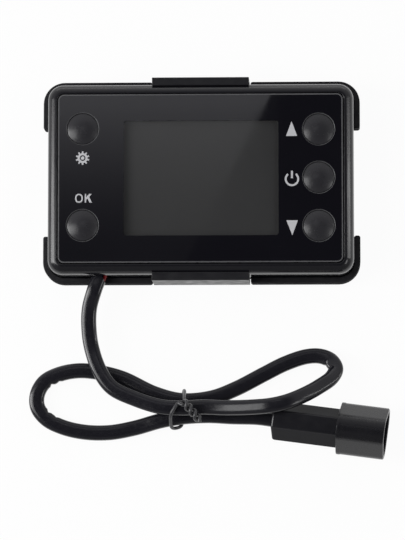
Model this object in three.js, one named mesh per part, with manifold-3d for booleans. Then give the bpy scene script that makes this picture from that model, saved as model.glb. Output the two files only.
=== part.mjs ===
// Wired display controller of a diesel air heater: a five-button panel clipped into a wall bracket,
// with a sleeved three-wire cord, tied in a loose figure of eight, and a three-pin connector.
// Millimetres. +X is to the right of the panel, +Y is up its face, +Z comes out of its face.
// The origin is the middle of the bracket's back, which lies on the plane z = 0.
import * as THREE from "three";
import { mergeVertices } from "three/addons/utils/BufferGeometryUtils.js";
import Module from "manifold-3d";

const wasm = await Module();
wasm.setup();

// ---------------------------------------------------------------- driving dimensions

const fit = 0.3; // clearance between two pieces that touch
const past = 1; // how far a cutting tool reaches past the face that it cuts
const leastRadius = 0.5; // of an inner corner
const sides = { fine: 32, usual: 24, coarse: 16 }; // of a round piece

const display = {
  glassWidth: 59,
  glassHeight: 42.2,
  glassThickness: 1.4,
  viewWidth: 48.5,
  viewHeight: 36.2,
  viewDepth: 0.15, // relief of the view area in the glass
  viewCorner: 1,
  glassCorner: 0.3,
  backlightThickness: 2,
  headerLength: 24,
  headerDepth: 2.5,
  headerInset: 1, // from the edge of the glass
};

const button = {
  diameter: 10.1,
  retainingLip: 0.6,
  retainingLipThickness: 1,
  rowToEdge: 11, // centre of the top and bottom rows to the lens edge
  gapToDisplay: 1.65, // retaining lip to display glass
  dome: 0.9,
  recess: 0.25, // rim below the face of the lens
};

const tactSwitch = {
  size: 6,
  height: 2.5,
  plungerDiameter: 3.4,
  plungerRise: 1,
  plungerSeat: 1, // length of the plunger inside the switch
  plungerTravel: 0.6, // free depth under the plunger
};

const lens = {
  thickness: 1.5,
  sideMargin: 2.15, // button rim to lens edge
  endMargin: 4.9, // display glass to lens edge
  cornerRadius: 1.5,
  proud: 0.3, // above the rim of the bezel
};

const body = {
  border: 4, // lens edge to the widest outline
  cornerRadius: 4.8,
  wall: 1.8,
  floor: 1.8,
  backChamfer: 0.8,
  ledge: 1.5, // front wall of the bezel, under the lens
  skirt: 1.7, // straight side of the bezel, below its rounded edge
  edgeInset: 2.2, // rounded edge, across
  rimLand: 0.35, // flat rim round the lens
  bossRoot: 0.5, // how far a boss is rooted in the wall that carries it
};

const board = { thickness: 1.6, clearance: 0.7, lift: 2.1 };

const bracket = {
  plate: 2,
  wall: 1.7,
  wallHeight: 5.5,
  plateInset: 1.5,
  sideGap: 34,
  screwHole: 4.2,
  screwHead: 8,
  screwPitchX: 60,
  screwPitchY: 30,
};

const latch = {
  width: 30.4,
  lipOverlap: 0.6, // how far the lip reaches over the widest outline
  lipThickness: 0.7,
  lipRise: 2.9, // widest outline to the inner edge of the lip
  lipSlope: 1.3,
};

const housingScrew = {
  headDiameter: 5,
  headHeight: 1.4,
  shank: 2.4,
  length: 7,
  bossRadius: 3,
  bossFloor: 0.7, // under the screw's seat
  cornerOffset: 3.6, // inner wall to the boss's centre
  slotWidth: 0.8,
  slotDepth: 0.6,
  slotShare: 0.7, // length of the cross slot, as a share of the head
};

const boardScrew = {
  headDiameter: 4,
  headHeight: 1.2,
  shank: 1.8,
  length: 4,
  postRadius: 2.4,
  spacing: 28,
  wallOffset: 3.6,
};

const cord = {
  width: 4.8,
  thickness: 3.4,
  sides: 10,
  steps: 78,
  liftOverWall: 0.8,
  startOutside: 1.2, // end of the sleeve, from the widest outline
  exitX: -32.45,
  exitHeading: -110, // degrees from +X
};

const wire = {
  diameter: 1.2,
  pitch: 1.6,
  socketPitch: 1.5,
  bend: 1.6, // radius of the turn towards the exit
  steps: 20,
  sides: 8,
};

const socket = { x: -21.5, length: 7, depth: 5.3, height: 3.6, plugLength: 4, plugShrink: 0.5 };

const tie = {
  diameter: 1.1,
  clearance: 0.35,
  x: -6.2,
  rootAngle: 1.25, // where the twist starts, from +Y towards +Z, in radians
  openAngle: 0.35, // between the turn's two ends, in radians
  spread: 2, // distance along the cord between the turn's two ends
  bulge: 2.8, // how far the turn bows along the cord
  bulgeShare: 0.42, // share of the turn that bows
  twistRadius: 0.9,
  tailStart: 2.2, // from the turn's start to the twist's axis
  tailLift: 1.3, // the twist's axis above the turn's start
  tailHeading: -0.85, // radians from +X
  twistPhase: 0.5, // angle of the second end about the twist's axis, in radians
  tailTurns: 1.75,
  tailPitch: 4.2,
  stepsPerTurn: 8,
  arcSteps: 24,
  steps: 90,
  sides: 6,
};

const connector = {
  rearLength: 20.8,
  rearBottom: 12.2,
  rearTop: 5.5,
  rearAbove: 5.2, // axis to the flat top
  rearBelow: 5,
  rearShoulder: 1.6, // height of the upright edge at the bottom
  shroudLength: 15,
  shroudSide: 6.4, // straight length of each side of the rounded triangle
  shroudRadius: 5,
  shroudWall: 1.5,
  cavityDepth: 13,
  lockThickness: 1.6,
  sealDepth: 4,
  sealWidth: 7,
  sealHeight: 5.4,
  sealCorner: 1.5,
  pinWidth: 2.2,
  pinThickness: 0.8,
  pinRadius: 3.3, // axis to each pin
  pinRecess: 5.4, // pin tip to the mouth
  pinRoot: 4, // length held in the housing
  x: 42.9, // where the axis passes the shroud's rear face
  y: -77.6,
  yaw: -7.7,
  floorGap: 0.05,
};

const chips = {
  mcu: { size: 7, height: 1, x: 10, y: 6 },
  regulator: { width: 6.2, depth: 5.4, height: 2.2, x: -14, y: -8 },
  capacitor: { diameter: 5, height: 4.4, x: 20, wallOffset: 3.9 },
};

// ---------------------------------------------------------------- derived places

const lipRadius = button.diameter / 2 + button.retainingLip;
const columnX = display.glassWidth / 2 + button.gapToDisplay + lipRadius;
const lensWidth = 2 * (columnX + button.diameter / 2 + lens.sideMargin);
const lensHeight = display.glassHeight + 2 * lens.endMargin;
const rowPitch = lensHeight / 2 - button.rowToEdge;
const bodyWidth = lensWidth + 2 * body.border;
const bodyHeight = lensHeight + 2 * body.border;
const innerWidth = bodyWidth - 2 * body.wall;
const innerHeight = bodyHeight - 2 * body.wall;
const innerRadius = Math.max(body.cornerRadius - body.wall, leastRadius);

const z = {};
z.back = bracket.plate + fit;
z.floor = z.back + body.floor;
z.screwSeat = z.back + fit + housingScrew.headHeight;
z.screwTop = z.screwSeat + housingScrew.length;
z.shellBossTop = z.screwSeat + fit + housingScrew.bossFloor;
z.boardBottom = z.floor + board.lift;
z.boardTop = z.boardBottom + board.thickness;
z.switchBottom = z.boardTop + fit;
z.switchTop = z.switchBottom + tactSwitch.height;
z.plungerTop = z.switchTop + tactSwitch.plungerRise;
z.lipBottom = z.plungerTop + fit;
z.lipTop = z.lipBottom + button.retainingLipThickness;
z.ledgeBottom = z.lipTop + fit;
z.ledgeTop = z.ledgeBottom + body.ledge;
z.lensBottom = z.ledgeTop + fit;
z.lensTop = z.lensBottom + lens.thickness;
z.rim = z.lensTop - lens.proud;
z.exit = bracket.wallHeight + cord.liftOverWall + cord.thickness / 2;
z.split = z.exit + cord.thickness / 2 + fit;
z.bezelBottom = z.split + fit;
z.widest = z.bezelBottom + body.skirt;
z.glassTop = z.lensBottom - fit;
z.glassBottom = z.glassTop - display.glassThickness;
z.backlightTop = z.glassBottom - fit;
z.backlightBottom = z.backlightTop - display.backlightThickness;

const screwPlaces = [
  [-1, -1],
  [1, -1],
  [1, 1],
  [-1, 1],
].map(([sx, sy]) => [
  sx * (innerWidth / 2 - housingScrew.cornerOffset),
  sy * (innerHeight / 2 - housingScrew.cornerOffset),
]);
const boardScrewY = innerHeight / 2 - boardScrew.wallOffset;
const boardScrewPlaces = [
  [-boardScrew.spacing / 2, boardScrewY],
  [boardScrew.spacing / 2, -boardScrewY],
];
const buttonPlaces = {
  settings: [-columnX, rowPitch],
  ok: [-columnX, -rowPitch],
  up: [columnX, rowPitch],
  power: [columnX, 0],
  down: [columnX, -rowPitch],
};

// ---------------------------------------------------------------- solids

function toSolid(geometry) {
  const bare = new THREE.BufferGeometry();
  bare.setAttribute("position", geometry.getAttribute("position"));
  if (geometry.index) bare.setIndex(geometry.index);
  const merged = mergeVertices(bare, 1e-4);
  return new wasm.Manifold(
    new wasm.Mesh({
      numProp: 3,
      vertProperties: merged.getAttribute("position").array,
      triVerts: new Uint32Array(merged.index.array),
    }),
  );
}

function toGeometry(solid) {
  const { vertProperties, triVerts } = solid.getMesh();
  const geometry = new THREE.BufferGeometry();
  geometry.setAttribute("position", new THREE.BufferAttribute(vertProperties, 3));
  geometry.setIndex(new THREE.BufferAttribute(triVerts, 1));
  return geometry;
}

function join(first, ...others) {
  return others.reduce((sum, g) => sum.add(toSolid(g)), toSolid(first));
}

function cut(solid, ...tools) {
  return tools.reduce((rest, g) => rest.subtract(toSolid(g)), solid);
}

function roundedRectangle(width, height, radius) {
  const x = width / 2 - radius;
  const y = height / 2 - radius;
  const shape = new THREE.Shape();
  shape.absarc(x, y, radius, 0, Math.PI / 2);
  shape.absarc(-x, y, radius, Math.PI / 2, Math.PI);
  shape.absarc(-x, -y, radius, Math.PI, 1.5 * Math.PI);
  shape.absarc(x, -y, radius, 1.5 * Math.PI, 2 * Math.PI);
  return shape;
}

function slab(shape, bottom, top, curveSegments = 8) {
  const options = { depth: top - bottom, bevelEnabled: false, curveSegments };
  return new THREE.ExtrudeGeometry(shape, options).translate(0, 0, bottom);
}

function box(x0, x1, y0, y1, z0, z1) {
  const geometry = new THREE.BoxGeometry(x1 - x0, y1 - y0, z1 - z0);
  return geometry.translate((x0 + x1) / 2, (y0 + y1) / 2, (z0 + z1) / 2);
}

function column([x, y], radius, bottom, top, faces = sides.usual) {
  const geometry = new THREE.CylinderGeometry(radius, radius, top - bottom, faces);
  return geometry.rotateX(Math.PI / 2).translate(x, y, (bottom + top) / 2);
}

// A closed solid through rounded rectangles of one centre, given as { inset, z } from the widest one.
function layeredCase(levels, cornerSteps = 6) {
  const ring = ({ inset, z: height }) => {
    const radius = Math.max(body.cornerRadius - inset, leastRadius);
    const x = bodyWidth / 2 - inset - radius;
    const y = bodyHeight / 2 - inset - radius;
    const points = [];
    [[x, y], [-x, y], [-x, -y], [x, -y]].forEach(([cx, cy], quarter) => {
      for (let i = 0; i <= cornerSteps; i++) {
        const angle = (quarter + i / cornerSteps) * (Math.PI / 2);
        points.push([cx + radius * Math.cos(angle), cy + radius * Math.sin(angle), height]);
      }
    });
    return points;
  };
  const rings = levels.map(ring);
  const count = rings[0].length;
  const positions = rings.flat(2);
  const triangles = [];
  for (let level = 0; level + 1 < rings.length; level++) {
    for (let i = 0; i < count; i++) {
      const a = level * count + i;
      const b = level * count + ((i + 1) % count);
      triangles.push(a, b, b + count, a, b + count, a + count);
    }
  }
  const top = (rings.length - 1) * count;
  for (let i = 1; i + 1 < count; i++) triangles.push(0, i + 1, i, top, top + i, top + i + 1);
  const geometry = new THREE.BufferGeometry();
  geometry.setAttribute("position", new THREE.Float32BufferAttribute(positions, 3));
  return geometry.setIndex(triangles);
}

function sectionShape(points) {
  return new THREE.Shape(points.map(([x, y]) => new THREE.Vector2(x, y)));
}

function ellipsePoints(width, height, faces) {
  return Array.from({ length: faces }, (_, i) => {
    const angle = ((i + 0.5) / faces) * 2 * Math.PI;
    return [(width / 2) * Math.cos(angle), (height / 2) * Math.sin(angle)];
  });
}

function sweep(shape, curve, steps) {
  return new THREE.ExtrudeGeometry(shape, { steps, extrudePath: curve, bevelEnabled: false });
}

// ---------------------------------------------------------------- materials

const finish = (color, roughness, metalness = 0) =>
  new THREE.MeshStandardMaterial({ color, roughness, metalness });

const materials = {
  bracket: finish(0x1b1b1d, 0.55),
  shell: finish(0x18181a, 0.35),
  lens: finish(0x0b0b10, 0.08),
  button: finish(0x17171a, 0.22),
  glass: finish(0x3a3b3c, 0.15),
  backlight: finish(0xd9dbdc, 0.6),
  board: finish(0x1d5b3a, 0.5),
  component: finish(0x202022, 0.5),
  steel: finish(0xb9bcc0, 0.3, 1),
  aluminium: finish(0xc6c8ca, 0.35, 1),
  socket: finish(0xe9e4d6, 0.5),
  red: finish(0xa01c1c, 0.4),
  blue: finish(0x1f3f8c, 0.4),
  black: finish(0x141416, 0.4),
  sleeve: finish(0x131317, 0.25),
  connector: finish(0x17171b, 0.4),
  seal: finish(0x8e3b22, 0.7),
  tin: finish(0xc9c5b8, 0.3, 1),
};

const group = new THREE.Group();

function place(name, geometry, material, parent = group) {
  const mesh = new THREE.Mesh(geometry, material);
  mesh.name = name;
  mesh.geometry.computeVertexNormals();
  parent.add(mesh);
  return mesh;
}

// ---------------------------------------------------------------- wall bracket and its latches

const SLIVER = 0.01; // overlap of two cutting tools that meet on a face

function mountingBracket() {
  const inner = [bodyWidth + 2 * fit, bodyHeight + 2 * fit, body.cornerRadius + fit];
  const outer = inner.map((size, i) => size + (i < 2 ? 2 : 1) * bracket.wall);
  const [outerX, outerY] = [outer[0] / 2 + past, outer[1] / 2 + past];
  const plateX = bodyWidth / 2 - bracket.plateInset;
  const plateY = bodyHeight / 2;
  const [gapX, gapY] = [latch.width / 2 + fit, bracket.sideGap / 2];
  const top = bracket.wallHeight + past;

  const inside = slab(roundedRectangle(...inner), bracket.plate, top);
  let solid = cut(toSolid(slab(roundedRectangle(...outer), 0, bracket.wallHeight)), inside);
  for (const side of [-1, 1]) {
    const [xa, xb] = [side * plateX, side * outerX].sort((a, b) => a - b);
    const [ya, yb] = [side * plateY, side * outerY].sort((a, b) => a - b);
    const sideGap = box(xa, xb, -gapY, gapY, -past, top);
    const endGap = box(-gapX, gapX, ya, yb, -past, top);
    solid = cut(solid, sideGap, endGap);
  }
  for (const sx of [-1, 1]) {
    for (const sy of [-1, 1]) {
      const centre = [(sx * bracket.screwPitchX) / 2, (sy * bracket.screwPitchY) / 2];
      const [headRadius, holeRadius] = [bracket.screwHead / 2, bracket.screwHole / 2];
      const depth = headRadius - holeRadius;
      const sink = new THREE.CylinderGeometry(headRadius, holeRadius, depth, sides.usual);
      sink.rotateX(Math.PI / 2).translate(...centre, bracket.plate - depth / 2);
      solid = cut(
        solid,
        column(centre, holeRadius, -past, top),
        sink,
        column(centre, headRadius, bracket.plate - SLIVER, top),
      );
    }
  }
  place("mounting_bracket", toGeometry(solid), materials.bracket);
}

// A sprung tab in the gap of the bracket's end wall, whose lip holds the widest outline of the body.
function bracketLatch(name, side) {
  const inner = bodyHeight / 2 + fit;
  const outer = inner + bracket.wall;
  const lipTip = bodyHeight / 2 - latch.lipOverlap;
  const lipUnder = z.widest + latch.lipRise;
  const profile = [
    [inner, fit],
    [outer, fit],
    [outer, lipUnder + latch.lipThickness],
    [lipTip, lipUnder + latch.lipThickness],
    [lipTip, lipUnder],
    [inner, lipUnder - latch.lipSlope],
  ].map(([y, height]) => [side * y, height]);
  if (side < 0) profile.reverse();
  const options = { depth: latch.width, bevelEnabled: false };
  const geometry = new THREE.ExtrudeGeometry(sectionShape(profile), options);
  geometry.applyMatrix4(alongX());
  geometry.translate(-latch.width / 2, 0, 0);
  place(name, geometry, materials.bracket);
}

// Turns a section drawn in XY and extruded along Z into one drawn in YZ and extruded along X.
function alongX() {
  return new THREE.Matrix4().makeBasis(
    new THREE.Vector3(0, 1, 0),
    new THREE.Vector3(0, 0, 1),
    new THREE.Vector3(1, 0, 0),
  );
}

// ---------------------------------------------------------------- case

const cordStart = new THREE.Vector3(
  cord.exitX,
  -bodyHeight / 2 - cord.startOutside,
  z.exit,
);
const cordHeading = new THREE.Vector3(1, 0, 0).applyAxisAngle(
  new THREE.Vector3(0, 0, 1),
  THREE.MathUtils.degToRad(cord.exitHeading),
);
const cordAcross = new THREE.Vector3(-cordHeading.y, cordHeading.x, 0);

// Where the leads cross the middle of the case's wall.
const exitMiddle =
  cord.exitX + ((cord.startOutside + body.wall / 2) * cordHeading.x) / cordHeading.y;

function exitCutter(bottom, top) {
  const half = cord.width / 2 + 2 * fit;
  const outside = -bodyHeight / 2 - past;
  const inside = -innerHeight / 2 + past;
  return box(exitMiddle - half, exitMiddle + half, outside, inside, bottom, top);
}

function backShell() {
  const outline = [
    { inset: body.backChamfer, z: z.back },
    { inset: 0, z: z.back + body.backChamfer },
    { inset: 0, z: z.split },
  ];
  const cavity = roundedRectangle(innerWidth, innerHeight, innerRadius);
  let solid = cut(
    toSolid(layeredCase(outline)),
    slab(cavity, z.floor, z.split + past),
    exitCutter(z.exit - cord.thickness / 2 - fit, z.split + past),
  );
  for (const centre of screwPlaces) {
    const bottom = z.floor - body.bossRoot;
    solid = solid.add(toSolid(column(centre, housingScrew.bossRadius, bottom, z.shellBossTop)));
  }
  for (const centre of screwPlaces) {
    const [head, shank] = [housingScrew.headDiameter / 2 + fit, housingScrew.shank / 2 + fit];
    solid = cut(
      solid,
      column(centre, head, z.back - past, z.screwSeat + fit),
      column(centre, shank, z.back, z.shellBossTop + past, sides.coarse),
    );
  }
  place("back_shell", toGeometry(solid), materials.shell);
}

function frontBezel() {
  const edgeRise = z.rim - lens.proud - z.widest;
  const levels = [{ inset: 0, z: z.bezelBottom }];
  const edgeSteps = 6;
  for (let i = 0; i <= edgeSteps; i++) {
    const angle = (i / edgeSteps) * (Math.PI / 2);
    levels.push({
      inset: body.edgeInset * (1 - Math.cos(angle)),
      z: z.widest + edgeRise * Math.sin(angle),
    });
  }
  levels.push({ inset: body.border - fit - body.rimLand, z: z.rim });
  const recess = [lensWidth + 2 * fit, lensHeight + 2 * fit, lens.cornerRadius + fit];
  const glass = [display.glassWidth, display.glassHeight, display.glassCorner];
  const window = glass.map((size, i) => size + (i < 2 ? 2 : 1) * fit);
  let solid = cut(
    toSolid(layeredCase(levels)),
    slab(roundedRectangle(...recess), z.ledgeTop, z.rim + past),
    slab(
      roundedRectangle(innerWidth, innerHeight, innerRadius),
      z.bezelBottom - past,
      z.ledgeBottom,
    ),
    slab(roundedRectangle(...window), z.ledgeBottom - past, z.ledgeTop + past),
  );
  for (const centre of Object.values(buttonPlaces)) {
    solid = cut(solid, buttonHole(centre, z.ledgeBottom, z.ledgeTop));
  }
  const root = z.ledgeBottom + body.bossRoot;
  const addBoss = (centre, radius, bottom, screwRadius, tip) => {
    const boss = toSolid(column(centre, radius, bottom, root));
    const pilot = column(centre, screwRadius + fit, bottom - past, tip + fit, sides.coarse);
    solid = cut(solid.add(boss), pilot);
  };
  for (const centre of screwPlaces) {
    const bottom = z.shellBossTop + fit;
    addBoss(centre, housingScrew.bossRadius, bottom, housingScrew.shank / 2, z.screwTop);
  }
  for (const centre of boardScrewPlaces) {
    const tip = z.boardBottom - fit + boardScrew.length;
    addBoss(centre, boardScrew.postRadius, z.boardTop + fit, boardScrew.shank / 2, tip);
  }
  place("front_bezel", toGeometry(solid), materials.shell);
}

function buttonHole(centre, bottom, top) {
  return column(centre, button.diameter / 2 + fit, bottom - past, top + past, sides.fine);
}

function frontLens() {
  const outline = roundedRectangle(lensWidth, lensHeight, lens.cornerRadius);
  let solid = toSolid(slab(outline, z.lensBottom, z.lensTop));
  for (const centre of Object.values(buttonPlaces)) {
    solid = cut(solid, buttonHole(centre, z.lensBottom, z.lensTop));
  }
  place("front_lens", toGeometry(solid), materials.lens);
}

function housingScrews() {
  const { headDiameter, headHeight, shank, slotWidth } = housingScrew;
  const slotLength = headDiameter * housingScrew.slotShare;
  const head = z.back + fit;
  screwPlaces.forEach((centre, index) => {
    const solid = cut(
      join(
        column(centre, headDiameter / 2, head, head + headHeight),
        column(centre, shank / 2, head + headHeight / 2, z.screwTop, sides.coarse),
      ),
      slot(centre, head, slotLength, slotWidth),
      slot(centre, head, slotWidth, slotLength),
    );
    place(`housing_screw_${index + 1}`, toGeometry(solid), materials.steel);
  });
}

function slot([x, y], head, width, height) {
  const top = head + housingScrew.slotDepth;
  return box(x - width / 2, x + width / 2, y - height / 2, y + height / 2, head - past, top);
}

// ---------------------------------------------------------------- buttons and switches

function domedCap(centre) {
  const radius = button.diameter / 2;
  const rimHeight = z.lensTop - button.recess;
  const profile = [
    new THREE.Vector2(0, z.lipBottom),
    new THREE.Vector2(lipRadius, z.lipBottom),
    new THREE.Vector2(lipRadius, z.lipTop),
    new THREE.Vector2(radius, z.lipTop),
    new THREE.Vector2(radius, rimHeight),
  ];
  const domeSteps = 5;
  for (let i = 1; i <= domeSteps; i++) {
    const share = i / domeSteps;
    const height = rimHeight + button.dome * (1 - (1 - share) ** 2);
    profile.push(new THREE.Vector2(radius * (1 - share), height));
  }
  const cap = new THREE.LatheGeometry(profile, sides.fine);
  return cap.rotateX(Math.PI / 2).translate(...centre, 0);
}

function buttonsAndSwitches() {
  const half = tactSwitch.size / 2;
  const radius = tactSwitch.plungerDiameter / 2;
  const seatBottom = z.switchTop - tactSwitch.plungerSeat;
  const wellBottom = seatBottom - tactSwitch.plungerTravel;
  for (const [name, centre] of Object.entries(buttonPlaces)) {
    const [x, y] = centre;
    place(`${name}_button`, domedCap(centre), materials.button);
    const well = column(centre, radius + fit, wellBottom, z.switchTop + past, sides.coarse);
    const outer = box(x - half, x + half, y - half, y + half, z.switchBottom, z.switchTop);
    place(`${name}_switch`, toGeometry(cut(toSolid(outer), well)), materials.component);
    const plunger = column(centre, radius, seatBottom, z.plungerTop, sides.coarse);
    place(`${name}_plunger`, toGeometry(toSolid(plunger)), materials.component);
  }
}

// ---------------------------------------------------------------- display

function displayModule() {
  const { glassHeight, viewDepth } = display;
  const outline = roundedRectangle(display.glassWidth, glassHeight, display.glassCorner);
  const view = roundedRectangle(display.viewWidth, display.viewHeight, display.viewCorner);
  const glass = cut(
    toSolid(slab(outline, z.glassBottom, z.glassTop, 2)),
    slab(view, z.glassTop - viewDepth, z.glassTop + past, 4),
  );
  place("lcd_glass", toGeometry(glass), materials.glass);
  const tray = slab(outline, z.backlightBottom, z.backlightTop, 2);
  place("lcd_backlight", toGeometry(toSolid(tray)), materials.backlight);
  const headerEdge = glassHeight / 2 - display.headerInset;
  const header = box(
    -display.headerLength / 2,
    display.headerLength / 2,
    headerEdge - display.headerDepth,
    headerEdge,
    z.boardTop + fit,
    z.backlightBottom - fit,
  );
  place("lcd_header", toGeometry(toSolid(header)), materials.component);
}

// ---------------------------------------------------------------- circuit board

function circuitBoard() {
  const width = innerWidth - 2 * board.clearance;
  const height = innerHeight - 2 * board.clearance;
  const radius = Math.max(innerRadius - board.clearance, leastRadius);
  const outline = roundedRectangle(width, height, radius);
  const [bottom, top] = [z.boardBottom - past, z.boardTop + past];
  let solid = toSolid(slab(outline, z.boardBottom, z.boardTop, 4));
  for (const centre of screwPlaces) {
    const [x, y] = centre;
    const r = housingScrew.bossRadius + 2 * fit;
    const [xa, xb] = [x, x + Math.sign(x) * 2 * r].sort((a, b) => a - b);
    const [ya, yb] = [y, y + Math.sign(y) * 2 * r].sort((a, b) => a - b);
    solid = cut(
      solid,
      column(centre, r, bottom, top),
      box(xa, xb, y - r, y + r, bottom, top),
      box(x - r, x + r, ya, yb, bottom, top),
    );
  }
  for (const centre of boardScrewPlaces) {
    solid = cut(solid, column(centre, boardScrew.shank / 2 + fit, bottom, top, sides.coarse));
  }
  const edge = -innerHeight / 2;
  const notchHalf = 1.5 * wire.pitch + wire.diameter;
  const [left, right] = [exitMiddle - notchHalf, exitMiddle + notchHalf];
  solid = cut(solid, box(left, right, edge, edge + socket.depth + 2 * fit, bottom, top));
  place("main_board", toGeometry(solid), materials.board);
}

function boardScrews() {
  const { headHeight } = boardScrew;
  const shank = boardScrew.shank / 2;
  const headTop = z.boardBottom - fit;
  boardScrewPlaces.forEach((centre, index) => {
    const solid = join(
      column(centre, boardScrew.headDiameter / 2, headTop - headHeight, headTop),
      column(centre, shank, headTop - headHeight / 2, headTop + boardScrew.length, sides.coarse),
    );
    place(`board_screw_${index + 1}`, toGeometry(solid), materials.steel);
  });
}

function boardComponents() {
  const bottom = z.boardTop + fit;
  const { mcu, regulator, capacitor } = chips;
  const chip = (item, width, depth) =>
    box(
      item.x - width / 2,
      item.x + width / 2,
      item.y - depth / 2,
      item.y + depth / 2,
      bottom,
      bottom + item.height,
    );
  place("mcu_chip", toGeometry(toSolid(chip(mcu, mcu.size, mcu.size))), materials.component);
  const regulatorBody = chip(regulator, regulator.width, regulator.depth);
  place("voltage_regulator", toGeometry(toSolid(regulatorBody)), materials.component);
  const can = [capacitor.x, innerHeight / 2 - capacitor.wallOffset];
  const canBody = column(can, capacitor.diameter / 2, bottom, bottom + capacitor.height);
  place("capacitor", toGeometry(toSolid(canBody)), materials.aluminium);
}

// ---------------------------------------------------------------- socket, plug and wires

const socketY = -innerHeight / 2 + board.clearance + socket.depth / 2;
const plugX = socket.x - socket.length / 2;
const wireZ = z.boardTop + fit + socket.height / 2;

function socketAndPlug() {
  const bottom = z.boardTop + fit;
  const half = socket.depth / 2;
  const right = socket.x + socket.length / 2;
  const block = box(plugX, right, socketY - half, socketY + half, bottom, bottom + socket.height);
  const mouth = half - socket.plugShrink;
  const bay = box(
    plugX - past,
    plugX + socket.plugLength,
    socketY - mouth,
    socketY + mouth,
    bottom + socket.plugShrink,
    bottom + socket.height - socket.plugShrink,
  );
  place("board_socket", toGeometry(cut(toSolid(block), bay)), materials.socket);
  const plug = box(
    plugX,
    plugX + socket.plugLength - fit,
    socketY - mouth + fit,
    socketY + mouth - fit,
    bottom + socket.plugShrink + fit,
    bottom + socket.height - socket.plugShrink - fit,
  );
  place("wire_plug", toGeometry(toSolid(plug)), materials.socket);
}

const BEND_MIDDLE = 1 - Math.SQRT1_2; // how far a quarter turn's middle lies inside its corner

// One insulated lead from the plug, round the board's edge and out of the case to the sleeve's end.
function lead(name, index, material) {
  const from = new THREE.Vector3(plugX - fit, socketY + (1 - index) * wire.socketPitch, wireZ);
  const to = cordStart
    .clone()
    .addScaledVector(cordHeading, -fit)
    .addScaledVector(cordAcross, (index - 1) * wire.pitch);
  const before = to.clone().addScaledVector(cordHeading, -2 * wire.diameter);
  const middle = wire.bend * BEND_MIDDLE;
  const curve = new THREE.CatmullRomCurve3(
    [
      from,
      new THREE.Vector3(before.x + wire.bend, from.y, from.z),
      new THREE.Vector3(before.x + middle, from.y - middle, from.z),
      new THREE.Vector3(before.x, from.y - wire.bend, from.z),
      before,
      to,
    ],
    false,
    "centripetal",
  );
  const section = sectionShape(ellipsePoints(wire.diameter, wire.diameter, wire.sides));
  place(name, toGeometry(toSolid(sweep(section, curve, wire.steps))), material);
}

// ---------------------------------------------------------------- connector

function roundedTriangle(side, radius) {
  const shape = new THREE.Shape();
  const reach = side / Math.sqrt(3);
  for (const degrees of [90, 210, 330]) {
    const angle = THREE.MathUtils.degToRad(degrees);
    const spread = Math.PI / 3;
    const [x, y] = [reach * Math.cos(angle), reach * Math.sin(angle)];
    shape.absarc(x, y, radius, angle - spread, angle + spread);
  }
  return shape;
}

const shroudDrop = connector.shroudSide / Math.sqrt(12) + connector.shroudRadius;
const tilt = Math.atan((shroudDrop - connector.rearBelow) / connector.rearLength);
const connectorGroup = new THREE.Group();
connectorGroup.rotation.set(0, -tilt, THREE.MathUtils.degToRad(connector.yaw), "ZYX");
connectorGroup.position.set(
  connector.x,
  connector.y,
  connector.floorGap + shroudDrop * Math.cos(tilt),
);
group.add(connectorGroup);
connectorGroup.updateMatrixWorld(true);

// A section extruded along the connector's axis, from one distance to another.
function axial(shape, from, to, curveSegments = 5) {
  return slab(shape, from, to, curveSegments).applyMatrix4(alongX());
}

function pinPlaces() {
  return [90, 210, 330].map((degrees) => {
    const angle = THREE.MathUtils.degToRad(degrees);
    return [connector.pinRadius * Math.cos(angle), connector.pinRadius * Math.sin(angle)];
  });
}

function rectangleAt([x, y], width, height) {
  return sectionShape([
    [x - width / 2, y - height / 2],
    [x + width / 2, y - height / 2],
    [x + width / 2, y + height / 2],
    [x - width / 2, y + height / 2],
  ]);
}

function connectorPieces() {
  const { rearLength, rearBottom, rearTop, rearAbove, rearBelow, rearShoulder } = connector;
  const { shroudLength, shroudSide, shroudRadius, shroudWall, cavityDepth } = connector;
  const rear = sectionShape([
    [-rearBottom / 2, -rearBelow],
    [rearBottom / 2, -rearBelow],
    [rearBottom / 2, -rearBelow + rearShoulder],
    [rearTop / 2, rearAbove],
    [-rearTop / 2, rearAbove],
    [-rearBottom / 2, -rearBelow + rearShoulder],
  ]);
  const cavityFloor = shroudLength - cavityDepth;
  const cavityRadius = shroudRadius - shroudWall;
  const root = cavityFloor - connector.pinRoot;
  const sealBottom = -rearLength + connector.sealDepth;
  const sealPocket = roundedRectangle(
    connector.sealWidth + 2 * fit,
    connector.sealHeight + 2 * fit,
    connector.sealCorner + fit,
  );
  let housing = join(
    axial(rear, -rearLength, past),
    axial(roundedTriangle(shroudSide, shroudRadius), 0, shroudLength, 8),
  );
  housing = cut(
    housing,
    axial(roundedTriangle(shroudSide, cavityRadius), cavityFloor, shroudLength + past, 8),
    axial(sealPocket, -rearLength - past, sealBottom),
  );
  const lockBottom = cavityFloor + fit;
  const lockTop = lockBottom + connector.lockThickness;
  let lock = toSolid(axial(roundedTriangle(shroudSide, cavityRadius - fit), lockBottom, lockTop));
  pinPlaces().forEach((centre, index) => {
    const { pinWidth, pinThickness } = connector;
    const bore = rectangleAt(centre, pinWidth + 2 * fit, pinThickness + 2 * fit);
    housing = cut(housing, axial(bore, root - fit, cavityFloor + past));
    lock = cut(lock, axial(bore, lockBottom - past, lockTop + past));
    const tip = shroudLength - connector.pinRecess;
    const pin = axial(rectangleAt(centre, pinWidth, pinThickness), root, tip);
    place(`terminal_pin_${index + 1}`, toGeometry(toSolid(pin)), materials.tin, connectorGroup);
  });
  place("connector_housing", toGeometry(housing), materials.connector, connectorGroup);
  place("terminal_lock", toGeometry(lock), materials.seal, connectorGroup);
  const { sealWidth, sealHeight, sealCorner } = connector;
  const seal = roundedRectangle(sealWidth, sealHeight, sealCorner);
  const plug = axial(seal, -rearLength, sealBottom - fit);
  place("wire_seal", toGeometry(toSolid(plug)), materials.seal, connectorGroup);
}

// ---------------------------------------------------------------- cord and its tie

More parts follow.
